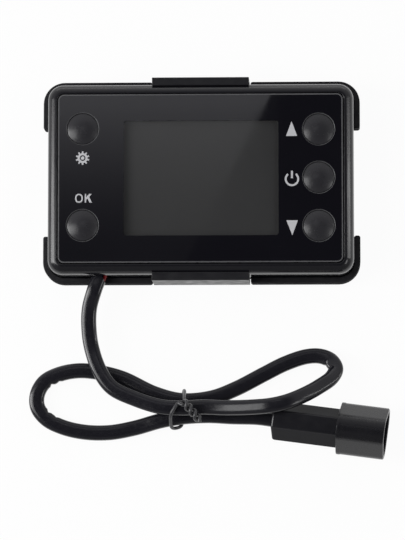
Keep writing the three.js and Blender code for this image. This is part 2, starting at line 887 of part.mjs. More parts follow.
// The cord's route over the floor: down from the case, over the connector's rear, round the right
// loop, back through the tie, round the left loop, and through the tie again to the connector.
const cordRoute = [
  [-35.2, -40.0, 6.7],
  [-35.4, -46.0, 5.8],
  [-34.6, -52.0, 5.5],
  [-32.1, -59.2, 5.9],
  [-28.1, -64.8, 6.3],
  [-20.8, -68.4, 6.7],
  [-12.8, -70.9, 7.3],
  [-6.2, -71.4, 7.6],
  [0.5, -71.1, 7.7],
  [7.5, -71.4, 8.9],
  [15.4, -71.4, 11.2],
  [22.2, -70.9, 12.8],
  [27.2, -69.7, 12.8],
  [32.5, -67.4, 10.8],
  [37.2, -64.6, 7.8],
  [40.8, -61.8, 5.4],
  [42.1, -58.9, 3.6],
  [40.6, -56.2, 2.4],
  [37.3, -54.8, 1.9],
  [32.9, -54.9, 1.75],
  [26.2, -57.1, 1.75],
  [19.6, -60.4, 1.75],
  [10.8, -65.0, 2.3],
  [3.2, -67.9, 3.0],
  [-6.2, -68.75, 3.4],
  [-14.7, -66.6, 3.0],
  [-25.2, -61.6, 2.0],
  [-33.2, -59.6, 1.75],
  [-39.3, -59.2, 1.75],
  [-45.3, -60.4, 1.75],
  [-49.7, -62.8, 1.75],
  [-51.9, -66.8, 1.75],
  [-51.7, -70.8, 1.75],
  [-48.9, -74.4, 1.75],
  [-44.0, -76.9, 1.75],
  [-37.2, -78.5, 1.75],
  [-29.1, -78.7, 1.75],
  [-21.1, -77.3, 2.0],
  [-13.0, -75.1, 3.0],
  [-6.2, -73.95, 3.5],
  [2.0, -73.5, 3.4],
  [9.5, -73.9, 3.9],
].map(([x, y, height]) => new THREE.Vector3(x, y, height));

// A curve whose sections keep their broad side level, as a flat sleeve's do.
class LevelCurve extends THREE.CatmullRomCurve3 {
  computeFrenetFrames(segments) {
    const tangents = Array.from({ length: segments + 1 }, (_, i) => this.getTangentAt(i / segments));
    const down = new THREE.Vector3(0, 0, -1);
    const normals = tangents.map((t) => down.clone().addScaledVector(t, -down.dot(t)).normalize());
    const binormals = tangents.map((t, i) => t.clone().cross(normals[i]));
    return { tangents, normals, binormals };
  }
}

function cordCurve() {
  const leave = cordStart.clone().addScaledVector(cordHeading, cord.thickness);
  const arrive = (distance) =>
    connectorGroup.localToWorld(new THREE.Vector3(-connector.rearLength - distance, 0, 0));
  return new LevelCurve(
    [cordStart, leave, ...cordRoute, arrive(cord.width), arrive(fit)],
    false,
    "centripetal",
  );
}

// Least distance between the surface of one stretch of a tube and that of another, on points.
function leastSelfGap(curve, width, thickness) {
  const samples = 200;
  const centres = curve.getSpacedPoints(samples);
  const frames = curve.computeFrenetFrames(samples, false);
  const away = Math.ceil((samples * 2 * width) / curve.getLength());
  const ring = ellipsePoints(width, thickness, sides.coarse);
  const surface = centres.map((centre, i) =>
    ring.map(([across, up]) =>
      centre
        .clone()
        .addScaledVector(frames.binormals[i], across)
        .addScaledVector(frames.normals[i], up),
    ),
  );
  let least = Infinity;
  for (let i = 0; i < centres.length; i++) {
    for (let j = i + away; j < centres.length; j++) {
      if (centres[i].distanceTo(centres[j]) > 2 * width) continue;
      for (const a of surface[i]) for (const b of surface[j]) least = Math.min(least, a.distanceTo(b));
    }
  }
  return least;
}

function cordSleeve(curve) {
  // The sweep lays a section's own X along the curve's upright normal.
  const upright = ellipsePoints(cord.thickness, cord.width, cord.sides);
  const geometry = sweep(sectionShape(upright), curve, cord.steps);
  place("cord_sleeve", toGeometry(toSolid(geometry)), materials.sleeve);
}

// Where the cord passes the plane of one X, among points taken along it.
function crossingsAt(x, samples) {
  return samples.filter((point, i) => {
    const before = samples[Math.max(i - 1, 0)];
    return (before.x - x) * (point.x - x) <= 0 && before.x !== point.x;
  });
}

// The point of a taut wire round the given stretches of cord, on the side that an angle faces.
function tautPoint(crossings, angle) {
  const offset = tie.clearance + tie.diameter / 2;
  const [ny, nz] = [Math.cos(angle), Math.sin(angle)];
  const [a, b] = [cord.width / 2, cord.thickness / 2];
  const reach = Math.hypot(a * ny, b * nz);
  const support = (centre) => centre.y * ny + centre.z * nz;
  const outermost = crossings.reduce((best, c) => (support(c) > support(best) ? c : best));
  return [
    outermost.y + (a * a * ny) / reach + offset * ny,
    outermost.z + (b * b * nz) / reach + offset * nz,
  ];
}

// One wire: its first end, twisted with its second, the turn round the cord, and its second end.
function tieCurve(curve) {
  const samples = curve.getSpacedPoints(1200);
  const turn = Array.from({ length: tie.arcSteps + 1 }, (_, i) => {
    const share = i / tie.arcSteps;
    const bulge = tie.bulge * Math.sin(Math.PI * Math.min(1, share / tie.bulgeShare));
    const x = tie.x + (share - 0.5) * tie.spread - bulge;
    const angle = tie.rootAngle + share * (2 * Math.PI - tie.openAngle);
    return new THREE.Vector3(x, ...tautPoint(crossingsAt(x, samples), angle));
  });
  const along = new THREE.Vector3(Math.cos(tie.tailHeading), Math.sin(tie.tailHeading), 0);
  const across = new THREE.Vector3(-along.y, along.x, 0);
  const up = new THREE.Vector3(0, 0, 1);
  const start = turn[0].clone().add(new THREE.Vector3(tie.tailStart, 0, tie.tailLift));
  const end = (phase) =>
    Array.from({ length: tie.tailTurns * tie.stepsPerTurn + 1 }, (_, i) => {
      const angle = phase + (i / tie.stepsPerTurn) * 2 * Math.PI;
      return start
        .clone()
        .addScaledVector(along, (i / tie.stepsPerTurn) * tie.tailPitch)
        .addScaledVector(across, tie.twistRadius * Math.cos(angle))
        .addScaledVector(up, tie.twistRadius * Math.sin(angle));
    });
  return new THREE.CatmullRomCurve3(
    [...end(tie.twistPhase + Math.PI).reverse(), ...turn, ...end(tie.twistPhase)],
    false,
    "centripetal",
  );
}

function cordTie(curve) {
  const path = tieCurve(curve);
  const section = sectionShape(ellipsePoints(tie.diameter, tie.diameter, tie.sides));
  place("cord_tie", toGeometry(toSolid(sweep(section, path, tie.steps))), materials.black);
  return path;
}

// ---------------------------------------------------------------- assembly

mountingBracket();
bracketLatch("top_latch", 1);
bracketLatch("bottom_latch", -1);
backShell();
frontBezel();
frontLens();
housingScrews();
buttonsAndSwitches();
displayModule();
circuitBoard();
boardScrews();
boardComponents();
socketAndPlug();
[
  ["black_lead", materials.black],
  ["blue_lead", materials.blue],
  ["red_lead", materials.red],
].forEach(([name, material], index) => lead(name, index, material));
connectorPieces();

const cordLine = cordCurve();
cordSleeve(cordLine);
const tieLine = cordTie(cordLine);

const report = (label, value) => console.log(label, `${value.toFixed(2)} mm`);
report("cord length", cordLine.getLength());
report("cord's least gap to itself", leastSelfGap(cordLine, cord.width, cord.thickness));
report("tie's least gap to itself", leastSelfGap(tieLine, tie.diameter, tie.diameter));

export default group;
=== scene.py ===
"""A heater's wired controller: a five-button panel clipped in its wall bracket, with a tied cord.

Lengths are in millimetres here and turn into metres where a mesh is made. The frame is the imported
model's: +X right, +Y up the panel, +Z out of its face, and the bracket's back on z = 0.
"""

import math

import bpy
from mathutils import Matrix, Vector
from mathutils.geometry import tessellate_polygon

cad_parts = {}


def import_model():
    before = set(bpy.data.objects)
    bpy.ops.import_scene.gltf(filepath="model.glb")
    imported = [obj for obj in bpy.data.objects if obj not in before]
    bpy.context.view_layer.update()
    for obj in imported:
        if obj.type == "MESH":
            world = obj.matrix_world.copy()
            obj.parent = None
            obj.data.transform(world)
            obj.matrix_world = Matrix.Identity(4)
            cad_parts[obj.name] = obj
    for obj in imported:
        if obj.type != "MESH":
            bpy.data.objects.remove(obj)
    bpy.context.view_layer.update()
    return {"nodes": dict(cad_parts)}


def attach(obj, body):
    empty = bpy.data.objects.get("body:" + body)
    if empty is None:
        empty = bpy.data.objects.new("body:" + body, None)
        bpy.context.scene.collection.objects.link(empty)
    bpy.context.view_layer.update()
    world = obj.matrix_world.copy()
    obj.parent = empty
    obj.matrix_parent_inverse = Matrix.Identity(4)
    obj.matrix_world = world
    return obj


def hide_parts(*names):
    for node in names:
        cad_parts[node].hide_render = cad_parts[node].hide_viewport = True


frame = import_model()

MM = 0.001
CONTROLLER = "controller"

# ---------------------------------------------------------------- camera

AIM = Vector((0.701, -28.907, 16.5))
CAMERA_DISTANCE = 1100
CAMERA_RIGHT, CAMERA_DOWN = 2.0, 5.9  # degrees between the view and the panel's normal
SENSOR = 36
FOCAL_LENGTH, PICTURE_HEIGHT = 3531, 540  # in pixels


def make_camera():
    data = bpy.data.cameras.new("camera")
    data.sensor_width = SENSOR
    data.lens = SENSOR * FOCAL_LENGTH / PICTURE_HEIGHT
    camera = bpy.data.objects.new("camera", data)
    bpy.context.scene.collection.objects.link(camera)
    slopes = [math.tan(math.radians(angle)) for angle in (CAMERA_RIGHT, -CAMERA_DOWN)]
    back = Vector((*slopes, 1)).normalized()
    right = (-back).cross(Vector((0, 1, 0))).normalized()
    up = back.cross(right)
    turn = Matrix((right, up, back)).transposed().to_4x4()
    camera.matrix_world = Matrix.Translation((AIM + back * CAMERA_DISTANCE) * MM) @ turn
    bpy.context.scene.camera = camera


make_camera()

# ---------------------------------------------------------------- mesh code

SHARP, TUBE_SHARP = 35, 60  # degrees between faces from which an edge isn't smoothed


def mesh_object(name, points, faces, sharp=SHARP):
    mesh = bpy.data.meshes.new(name)
    mesh.from_pydata([tuple(Vector(p) * MM) for p in points], [], faces)
    mesh.validate()
    mesh.shade_smooth()
    mesh.set_sharp_from_angle(angle=math.radians(sharp))
    piece = bpy.data.objects.new(name, mesh)
    bpy.context.scene.collection.objects.link(piece)
    return piece


def ring_faces(rings, count):
    """Quads between consecutive rings of one count of points."""
    faces = []
    for ring in range(rings - 1):
        low, high = ring * count, (ring + 1) * count
        for i in range(count):
            j = (i + 1) % count
            faces.append((low + i, low + j, high + j, high + i))
    return faces


def loft(name, rings, loop=False, sharp=SHARP):
    """A skin through rings of equal counts. It has caps, or its last ring joins the first."""
    count = len(rings[0])
    points = [p for ring in rings for p in ring]
    faces = ring_faces(len(rings), count)
    if loop:
        top = (len(rings) - 1) * count
        faces += [(top + i, top + (i + 1) % count, (i + 1) % count, i) for i in range(count)]
    else:
        faces.append(tuple(reversed(range(count))))
        faces.append(tuple(range(len(points) - count, len(points))))
    return mesh_object(name, points, faces, sharp)


def polar(centre, radius, angle):
    return (centre[0] + radius * math.cos(angle), centre[1] + radius * math.sin(angle))


def circle(centre, radius, sides=64):
    return [polar(centre, radius, i * 2 * math.pi / sides) for i in range(sides)]


def arc(centre, radius, start, end, steps=10):
    """Points from one angle to another, both in degrees."""
    angles = (math.radians(start + (end - start) * i / steps) for i in range(steps + 1))
    return [polar(centre, radius, angle) for angle in angles]


def rounded_rectangle(width, height, radius, steps=10):
    x, y = width / 2 - radius, height / 2 - radius
    points = []
    for quarter, centre in enumerate([(x, y), (-x, y), (-x, -y), (x, -y)]):
        angles = ((quarter + i / steps) * math.pi / 2 for i in range(steps + 1))
        points += [polar(centre, radius, angle) for angle in angles]
    return points


def superellipse(centre, width, height, squareness, sides, first=0.0):
    """An oval with flattened sides. first is where its first point lies, counted in points."""
    made = []
    for i in range(sides):
        angle = 2 * math.pi * (i + first) / sides
        c, s = math.cos(angle), math.sin(angle)
        x = math.copysign(abs(c) ** (2 / squareness), c) * width / 2
        y = math.copysign(abs(s) ** (2 / squareness), s) * height / 2
        made.append((centre[0] + x, centre[1] + y))
    return made


def fillet(points, radii, steps=5):
    """A polygon with its corners rounded, each by its own radius."""
    made = []
    count = len(points)
    for i, (point, radius) in enumerate(zip(points, radii)):
        here = Vector(point)
        if radius == 0:
            made.append(tuple(here))
            continue
        before = (Vector(points[i - 1]) - here).normalized()
        after = (Vector(points[(i + 1) % count]) - here).normalized()
        half = before.angle(after) / 2
        centre = here + (before + after).normalized() * (radius / math.sin(half))
        start = here + before * (radius / math.tan(half)) - centre
        end = here + after * (radius / math.tan(half)) - centre
        sweep = start.angle_signed(end)
        for k in range(steps + 1):
            turned = Matrix.Rotation(-sweep * k / steps, 2) @ start
            made.append(tuple(centre + turned))
    return made


def offset(points, distance):
    """The loop moved to the left of its direction, with mitred corners."""
    made = []
    count = len(points)
    for i, point in enumerate(points):
        a = (Vector(point) - Vector(points[i - 1])).normalized()
        b = (Vector(points[(i + 1) % count]) - Vector(point)).normalized()
        left_a, left_b = Vector((-a.y, a.x)), Vector((-b.y, b.x))
        shift = (left_a + left_b) * (distance / (1 + left_a.dot(left_b)))
        made.append(tuple(Vector(point) + shift))
    return made


def prism(name, loops, low, high, bevel=0.15, steps=3, place=None):
    """A plate between two heights with rounded edges. The first loop is the outline,
    anticlockwise, and the others are holes, clockwise."""
    quarter = [i / steps * math.pi / 2 for i in range(steps + 1)]
    levels = [(bevel * (1 - math.sin(a)), low + bevel * (1 - math.cos(a))) for a in quarter]
    levels += [(bevel * (1 - math.cos(a)), high - bevel * (1 - math.sin(a))) for a in quarter]
    points, faces = [], []
    bottom, top = [], []
    for loop in loops:
        count = len(loop)
        base = len(points)
        for inset, z in levels:
            points += [(x, y, z) for x, y in offset(loop, inset)]
        faces += [tuple(base + i for i in face) for face in ring_faces(len(levels), count)]
        bottom.append(range(base, base + count))
        top.append(range(base + (len(levels) - 1) * count, base + len(levels) * count))
    for ends, flip in ((bottom, True), (top, False)):
        order = [i for end in ends for i in end]
        polygons = [[Vector(points[i][:2]).to_3d() for i in end] for end in ends]
        for triangle in tessellate_polygon(polygons):
            a, b, c = (order[i] for i in triangle)
            va, vb, vc = (Vector(points[i]) for i in (a, b, c))
            upward = (vb - va).cross(vc - va).z > 0
            faces.append((a, b, c) if upward != flip else (a, c, b))
    if place is not None:
        points = [tuple(place @ Vector(p)) for p in points]
    return mesh_object(name, points, faces)


def lathe(name, profile, centre, sides=72):
    """A solid of revolution about an upright axis. The profile runs from axis to axis."""
    points = [(*centre, profile[0][1])]
    for radius, z in profile[1:-1]:
        points += [(x, y, z) for x, y in circle(centre, radius, sides)]
    points.append((*centre, profile[-1][1]))
    faces = [tuple(i + 1 for i in face) for face in ring_faces(len(profile) - 2, sides)]
    last = len(points) - 1
    for i in range(sides):
        j = (i + 1) % sides
        faces.append((0, 1 + j, 1 + i))
        faces.append((last, last - sides + i, last - sides + j))
    return mesh_object(name, points, faces)


def boolean(piece, other, operation):
    """Joins another piece to this one or cuts it out. The other one is used up."""
    modifier = piece.modifiers.new("boolean", "BOOLEAN")
    modifier.operation = operation
    modifier.solver = "EXACT"
    modifier.object = other
    graph = bpy.context.evaluated_depsgraph_get()
    mesh = bpy.data.meshes.new_from_object(piece.evaluated_get(graph))
    mesh.set_sharp_from_angle(angle=math.radians(SHARP))
    piece.modifiers.clear()
    piece.data = mesh
    bpy.data.objects.remove(other)


def joined(name, pieces):
    """One object from several closed bodies."""
    points, faces = [], []
    for piece in pieces:
        base = len(points)
        points += [v.co / MM for v in piece.data.vertices]
        faces += [tuple(base + i for i in p.vertices) for p in piece.data.polygons]
        bpy.data.objects.remove(piece)
    return mesh_object(name, points, faces)


# ---------------------------------------------------------------- curves


def catmull_rom(points):
    """Centripetal segments as functions of 0 to 1, as the CAD source's curve has them."""
    points = [Vector(p) for p in points]
    ends = [2 * points[0] - points[1], *points, 2 * points[-1] - points[-2]]
    segments = []
    for p0, p1, p2, p3 in zip(ends, ends[1:], ends[2:], ends[3:]):
        d0, d1, d2 = ((b - a).length ** 0.5 for a, b in ((p0, p1), (p1, p2), (p2, p3)))
        t1 = ((p1 - p0) / d0 - (p2 - p0) / (d0 + d1) + (p2 - p1) / d1) * d1
        t2 = ((p2 - p1) / d1 - (p3 - p1) / (d1 + d2) + (p3 - p2) / d2) * d1
        segments.append((p1, t1, -3 * p1 + 3 * p2 - 2 * t1 - t2, 2 * p1 - 2 * p2 + t1 + t2))
    return segments


def resampled(points, step, fineness=40):
    """Points a step apart, along the curve through the given ones, and its length."""
    fine = []
    for c0, c1, c2, c3 in catmull_rom(points):
        places = (k / fineness for k in range(fineness))
        fine += [c0 + c1 * t + c2 * t * t + c3 * t**3 for t in places]
    fine.append(Vector(points[-1]))
    reach = [0.0]
    for a, b in zip(fine, fine[1:]):
        reach.append(reach[-1] + (b - a).length)
    count = round(reach[-1] / step)
    made, i = [], 0
    for k in range(count + 1):
        target = reach[-1] * k / count
        while i < len(fine) - 2 and reach[i + 1] < target:
            i += 1
        share = (target - reach[i]) / (reach[i + 1] - reach[i])
        made.append(fine[i].lerp(fine[i + 1], share))
    return made, reach[-1]


def tangents(line):
    """The direction at each point of a line."""
    inner = [(b - a).normalized() for a, b in zip(line, line[2:])]
    return [(line[1] - line[0]).normalized(), *inner, (line[-1] - line[-2]).normalized()]


# ---------------------------------------------------------------- cord

CORD_WIDTH, CORD_THICKNESS = 4.8, 3.4
CORD_ROUTE = [
    (-32.45, -31.2, 8.0),
    (-33.613, -34.395, 8.0),
    (-35.2, -40.0, 6.7),
    (-35.4, -46.0, 5.8),
    (-34.6, -52.0, 5.5),
    (-32.1, -59.2, 5.9),
    (-28.1, -64.8, 6.3),
    (-20.8, -68.4, 6.7),
    (-12.8, -70.9, 7.3),
    (-6.2, -71.4, 7.6),
    (0.5, -71.1, 7.7),
    (7.5, -71.4, 8.9),
    (15.4, -71.4, 11.2),
    (22.2, -70.9, 12.8),
    (27.2, -69.7, 12.8),
    (32.5, -67.4, 10.8),
    (37.2, -64.6, 7.8),
    (40.8, -61.8, 5.4),
    (42.1, -58.9, 3.6),
    (40.6, -56.2, 2.4),
    (37.3, -54.8, 1.9),
    (32.9, -54.9, 1.75),
    (26.2, -57.1, 1.75),
    (19.6, -60.4, 1.75),
    (10.8, -65.0, 2.3),
    (3.2, -67.9, 3.0),
    (-6.2, -68.75, 3.4),
    (-14.7, -66.6, 3.0),
    (-25.2, -61.6, 2.0),
    (-33.2, -59.6, 1.75),
    (-39.3, -59.2, 1.75),
    (-45.3, -60.4, 1.75),
    (-49.7, -62.8, 1.75),
    (-51.9, -66.8, 1.75),
    (-51.7, -70.8, 1.75),
    (-48.9, -74.4, 1.75),
    (-44.0, -76.9, 1.75),
    (-37.2, -78.5, 1.75),
    (-29.1, -78.7, 1.75),
    (-21.1, -77.3, 2.0),
    (-13.0, -75.1, 3.0),
    (-6.2, -73.95, 3.5),
    (2.0, -73.5, 3.4),
    (9.5, -73.9, 3.9),
    (17.630, -74.183, 4.606),
    (22.072, -74.784, 5.004),
]
CORD_STEP = 0.6
SLEEVE_SIDES, SLEEVE_SQUARENESS = 48, 3.1
EXIT_SLANT = 1.6  # how far the sleeve's end reaches into the case on its left
BUCKLES = [  # place, depth and length of each kink on the inside of a bend
    ((-48.4, -62.0), 0.5, 0.9),
    ((-45.6, -60.6), 0.3, 0.8),
    ((-49.6, -73.6), 0.45, 0.9),
    ((-46.6, -75.8), 0.25, 0.8),
    ((42.1, -58.6), 0.25, 1.0),
    ((40.2, -55.9), 0.3, 0.9),
]
BUCKLE_REACH, CHORD_REACH = 6, 8  # points of the cord's line on each side of a kink


def buckled(line, rings):
    """Dents in the side that a bend presses together."""
    for place, depth, length in BUCKLES:
        middle = min(range(len(line)), key=lambda i: (line[i].xy - Vector(place)).length)
        chord = (line[middle - CHORD_REACH] + line[middle + CHORD_REACH]) / 2 - line[middle]
        inward = chord.normalized()
        for i in range(middle - BUCKLE_REACH, middle + BUCKLE_REACH + 1):
            away = (line[i] - line[middle]).length / length
            dent = depth * (1 - away * away) * math.exp(-away * away)
            for k, point in enumerate(rings[i]):
                inside = (point - line[i]).dot(inward) / (CORD_WIDTH / 2)
                if inside > 0:
                    rings[i][k] = point - inward * dent * inside * inside
    return rings


def cord_sleeve():
    """A flattened sleeve with rounded sides, the line in its middle and that line's length."""
    line, length = resampled(CORD_ROUTE, CORD_STEP)
    headings = tangents(line)
    size = (CORD_WIDTH, CORD_THICKNESS)
    section = superellipse((0, 0), *size, SLEEVE_SQUARENESS, SLEEVE_SIDES, first=0.5)
    rings = []
    for point, heading in zip(line, headings):
        up = (Vector((0, 0, 1)) - heading * heading.z).normalized()
        side = up.cross(heading)
        rings.append([point + side * a + up * b for a, b in section])
    rings[0] = [
        point - headings[0] * EXIT_SLANT * (1 - max(0, 2 * a / CORD_WIDTH) ** 2)
        for point, (a, _) in zip(rings[0], section)
    ]
    return loft("sleeve", buckled(line, rings), sharp=TUBE_SHARP), line, length


sleeve, cord_line, cord_length = cord_sleeve()

# ---------------------------------------------------------------- materials

GRAIN = 1000  # noise scale of one millimetre


class Nodes:
    """A material under construction, whose texture coordinates are the piece's own, in metres."""

    def __init__(self, name):
        self.material = bpy.data.materials.new(name)
        self.material.use_nodes = True
        self.tree = self.material.node_tree
        self.tree.nodes.clear()
        self.output = self.tree.nodes.new("ShaderNodeOutputMaterial")
        self.place = self.tree.nodes.new("ShaderNodeTexCoord").outputs["Object"]

    def node(self, kind, inputs=None, **settings):
        made = self.tree.nodes.new(kind)
        for key, value in settings.items():
            setattr(made, key, value)
        for key, value in (inputs or {}).items():
            if isinstance(value, bpy.types.NodeSocket):
                self.tree.links.new(value, made.inputs[key])
            else:
                made.inputs[key].default_value = value
        return made

    def noise(self, millimetres, detail, stretch=None):
        place = self.place
        if stretch:
            mapping = self.node("ShaderNodeMapping", {"Vector": place, "Scale": stretch})
            place = mapping.outputs["Vector"]
        inputs = {"Vector": place, "Scale": GRAIN / millimetres, "Detail": detail}
        return self.node("ShaderNodeTexNoise", inputs).outputs["Fac"]

    def between(self, value, low, high, start=0.3, end=0.7):
        """The value mapped from start and end to low and high."""
        spread = {"From Min": start, "From Max": end, "To Min": low, "To Max": high}
        return self.node("ShaderNodeMapRange", {"Value": value, **spread}).outputs["Result"]

    def calculate(self, operation, *values):
        inputs = dict(enumerate(values))
        return self.node("ShaderNodeMath", inputs, operation=operation).outputs[0]

    def blend(self, share, first, second):
        inputs = {0: share, 6: first, 7: second}
        return self.node("ShaderNodeMix", inputs, data_type="RGBA").outputs[2]

    def mix(self, share, first, second):
        """Two shaders mixed, with the second one's share."""
        inputs = {"Fac": share, 1: first.outputs[0], 2: second.outputs[0]}
        return self.node("ShaderNodeMixShader", inputs)

    def bump(self, height, millimetres, below=None):
        inputs = {"Height": height, "Distance": millimetres * MM}
        if below is not None:
            inputs["Normal"] = below
        return self.node("ShaderNodeBump", inputs).outputs["Normal"]

    def principled(self, **inputs):
        titles = {key: key.replace("_", " ").title().replace("Ior", "IOR") for key in inputs}
        named = {titles[key]: value for key, value in inputs.items()}
        return self.node("ShaderNodeBsdfPrincipled", named)

    def done(self, shader):
        self.tree.links.new(shader.outputs[0], self.output.inputs["Surface"])
        return self.material


def rgb(red, green, blue):
    return (red, green, blue, 1.0)


def shade(colour, factor):
    return rgb(*[c * factor for c in colour])


def moulded(
    name, colour, rough, grain=0.35, depth=0.01, spread=0.25, tint=0.18, satin=0, specular=0.5
):
    """Moulded plastic: a fine grain in the surface, a cloudy colour and an uneven polish. satin is
    how far a rough skin takes the shine off at a slant."""
    made = Nodes(name)
    cloud = made.noise(9, detail=4)
    fine = made.noise(grain, detail=2)
    rub = made.noise(2.6, detail=5)
    skin = made.blend(cloud, shade(colour, 1 - tint), shade(colour, 1 + tint))
    gloss = made.principled(
        base_color=skin,
        roughness=made.between(rub, rough * (1 - spread), rough * (1 + spread)),
        normal=made.bump(fine, depth),
        specular_ior_level=specular,
    )
    if not satin:
        return made.done(gloss)
    slant = made.node("ShaderNodeLayerWeight", {"Blend": 0.5}).outputs["Facing"]
    share = made.between(slant, 0, satin, start=0.25, end=0.48)
    dull = made.node("ShaderNodeBsdfDiffuse", {"Color": skin})
    return made.done(made.mix(share, gloss, dull))


def case_plastic():
    """Glossy plastic: faint long waves, hairline scratches and a trace of dust."""
    made = Nodes("case_plastic")
    waves = made.bump(made.noise(6, detail=1), 0.004)
    scratch = made.noise(0.5, detail=4, stretch=(1, 0.04, 1))
    dust = made.between(made.noise(0.22, detail=1), 0, 1, start=0.74, end=0.8)
    clean, dusty = rgb(0.0085, 0.0083, 0.0108), rgb(0.0435, 0.0433, 0.0458)
    return made.done(
        made.principled(
            base_color=made.blend(dust, clean, dusty),
            roughness=made.between(scratch, 0.112, 0.24),
            normal=made.bump(scratch, 0.0006, below=waves),
        )
    )


def brushed(name, colour):
    """Plated or turned metal with fine marks."""
    made = Nodes(name)
    marks = made.noise(0.3, detail=5, stretch=(1, 1, 0.1))
    stain = made.noise(1.5, detail=3)
    return made.done(
        made.principled(
            base_color=made.blend(stain, shade(colour, 0.82), shade(colour, 1)),
            metallic=1.0,
            roughness=made.between(marks, 0.21, 0.42),
            normal=made.bump(marks, 0.002),
        )
    )


def sleeve_vinyl():
    """Shiny vinyl, drawn lengthways, with faint lines and scuffs."""
    made = Nodes("sleeve_vinyl")
    scuff = made.noise(1.2, detail=5)
    cloud = made.noise(7, detail=3)
    fine = made.noise(0.4, detail=3)
    dark, pale = rgb(0.0085, 0.0083, 0.0115), rgb(0.0138, 0.0135, 0.0175)
    return made.done(
        made.principled(
            base_color=made.blend(cloud, dark, pale),
            roughness=made.between(scuff, 0.12, 0.24),
            normal=made.bump(fine, 0.004),
        )
    )


def lens_print():
    """The panel's black back-printed area under a clear glossy face."""
    made = Nodes("lens_print")
    dust = made.between(made.noise(0.25, detail=1), 0, 1, start=0.76, end=0.82)
    smear = made.noise(5, detail=5, stretch=(1, 0.3, 1))
    cloud = made.noise(14, detail=2)
    base = made.blend(cloud, rgb(0.0038, 0.0036, 0.0058), rgb(0.0054, 0.0051, 0.0078))
    return made.done(
        made.principled(
            base_color=made.blend(dust, base, rgb(0.03, 0.03, 0.035)),
            roughness=made.between(smear, 0.02, 0.05),
            ior=1.49,
        )
    )


GLARE_COAT = 0.85  # share of its mirrored light that a face with a coat against glare keeps


def lens_window():
    """The clear part of the panel: it lets the display through, and only its outside mirrors."""
    made = Nodes("lens_window")
    smear = made.noise(5, detail=5, stretch=(1, 0.3, 1))
    clear = made.node("ShaderNodeBsdfTransparent", {"Color": rgb(0.92, 0.92, 0.91)})
    gloss = made.node("ShaderNodeBsdfGlossy", {"Roughness": made.between(smear, 0.02, 0.05)})
    fresnel = made.node("ShaderNodeFresnel", {"IOR": 1.49}).outputs[0]
    inside = made.node("ShaderNodeNewGeometry").outputs["Backfacing"]
    coat = made.calculate("MULTIPLY_ADD", inside, -GLARE_COAT, GLARE_COAT)
    share = made.calculate("MULTIPLY", fresnel, coat)
    return made.done(made.mix(share, clear, gloss))


def display_glass():
    """An unlit display: a warm grey film with a faint grain."""
    made = Nodes("display_glass")
    cloud = made.noise(16, detail=2)
    grain = made.noise(0.15, detail=1)
    return made.done(
        made.principled(
            base_color=made.blend(cloud, rgb(0.044, 0.044, 0.0475), rgb(0.05, 0.05, 0.0535)),
            roughness=made.between(grain, 0.35, 0.5),
            normal=made.bump(grain, 0.001),
            ior=1.5,
        )
    )


def laminate():
    """Solder resist over copper traces."""
    made = Nodes("laminate")
    brick = made.node(
        "ShaderNodeTexBrick",
        {
            "Vector": made.place,
            "Scale": 120.0,
            "Color1": rgb(0.01, 0.1, 0.045),
            "Color2": rgb(0.012, 0.13, 0.055),
            "Mortar": rgb(0.02, 0.19, 0.08),
            "Mortar Size": 0.03,
        },
    )
    weave = made.noise(0.4, detail=2)
    return made.done(
        made.principled(
            base_color=brick.outputs["Color"],
            roughness=made.between(weave, 0.25, 0.4),
            normal=made.bump(weave, 0.01),
        )
    )


BLACK_BRACKET, BLACK_LATCH = (0.0088, 0.0086, 0.0108), (0.0078, 0.0076, 0.0098)
BLACK_BUTTON, BLACK_SHROUD = (0.025, 0.0245, 0.028), (0.0085, 0.0083, 0.0105)
BLACK_CONNECTOR = (0.0112, 0.011, 0.0135)
RUST_RED = (0.25, 0.05, 0.02)
MOULDED = {
    "bracket_plastic": dict(
        colour=BLACK_BRACKET, rough=0.46, depth=0.012, satin=0.85, specular=0.38
    ),
    "latch_plastic": dict(colour=BLACK_LATCH, rough=0.4, depth=0.008, specular=0.42),
    # a pale grey for the lens's rim and its hole chamfers: painted highlight along these edges, not
    # a printed colour
    "lens_edge_highlight": dict(colour=(0.1, 0.1, 0.105), rough=0.3, depth=0.003),
    "button_plastic": dict(colour=BLACK_BUTTON, rough=0.26, depth=0.002, spread=0.15, tint=0.08),
    "backlight_plastic": dict(colour=(0.7, 0.71, 0.72), rough=0.5, tint=0.04),
    "black_component": dict(colour=(0.015, 0.015, 0.016), rough=0.5, grain=0.2),
    "ivory_nylon": dict(colour=(0.78, 0.74, 0.64), rough=0.45, tint=0.05),
    "black_insulation": dict(colour=(0.012, 0.012, 0.013), rough=0.35),
    "blue_insulation": dict(colour=(0.015, 0.045, 0.26), rough=0.35),
    "red_insulation": dict(colour=(0.36, 0.012, 0.014), rough=0.35),
    "tie_vinyl": dict(colour=(0.045, 0.045, 0.048), rough=0.3, depth=0.006),
    "connector_nylon": dict(
        colour=BLACK_CONNECTOR, rough=0.2, depth=0.003, tint=0.07, satin=0.84
    ),
    "shroud_nylon": dict(
        colour=BLACK_SHROUD, rough=0.27, depth=0.002, spread=0.1, tint=0.05, specular=0.36
    ),
    "seal_rubber_plastic": dict(colour=RUST_RED, rough=0.5),
    "seal_rubber": dict(colour=RUST_RED, rough=0.6),
    "print": dict(colour=(0.56, 0.56, 0.58), rough=0.6, grain=0.15, tint=0.05),
}
BRUSHED = {
    "steel": (0.55, 0.56, 0.58),
    "can_aluminium": (0.7, 0.71, 0.72),
    "tinned_brass": (0.62, 0.6, 0.52),
}
MATERIALS = {
    "case_plastic": case_plastic(),
    "lens_acrylic": lens_print(),
    "lens_window": lens_window(),
    "display_glass": display_glass(),
    "board_laminate": laminate(),
    "sleeve_vinyl": sleeve_vinyl(),
}
MATERIALS.update({name: moulded(name, **look) for name, look in MOULDED.items()})
MATERIALS.update({name: brushed(name, colour) for name, colour in BRUSHED.items()})


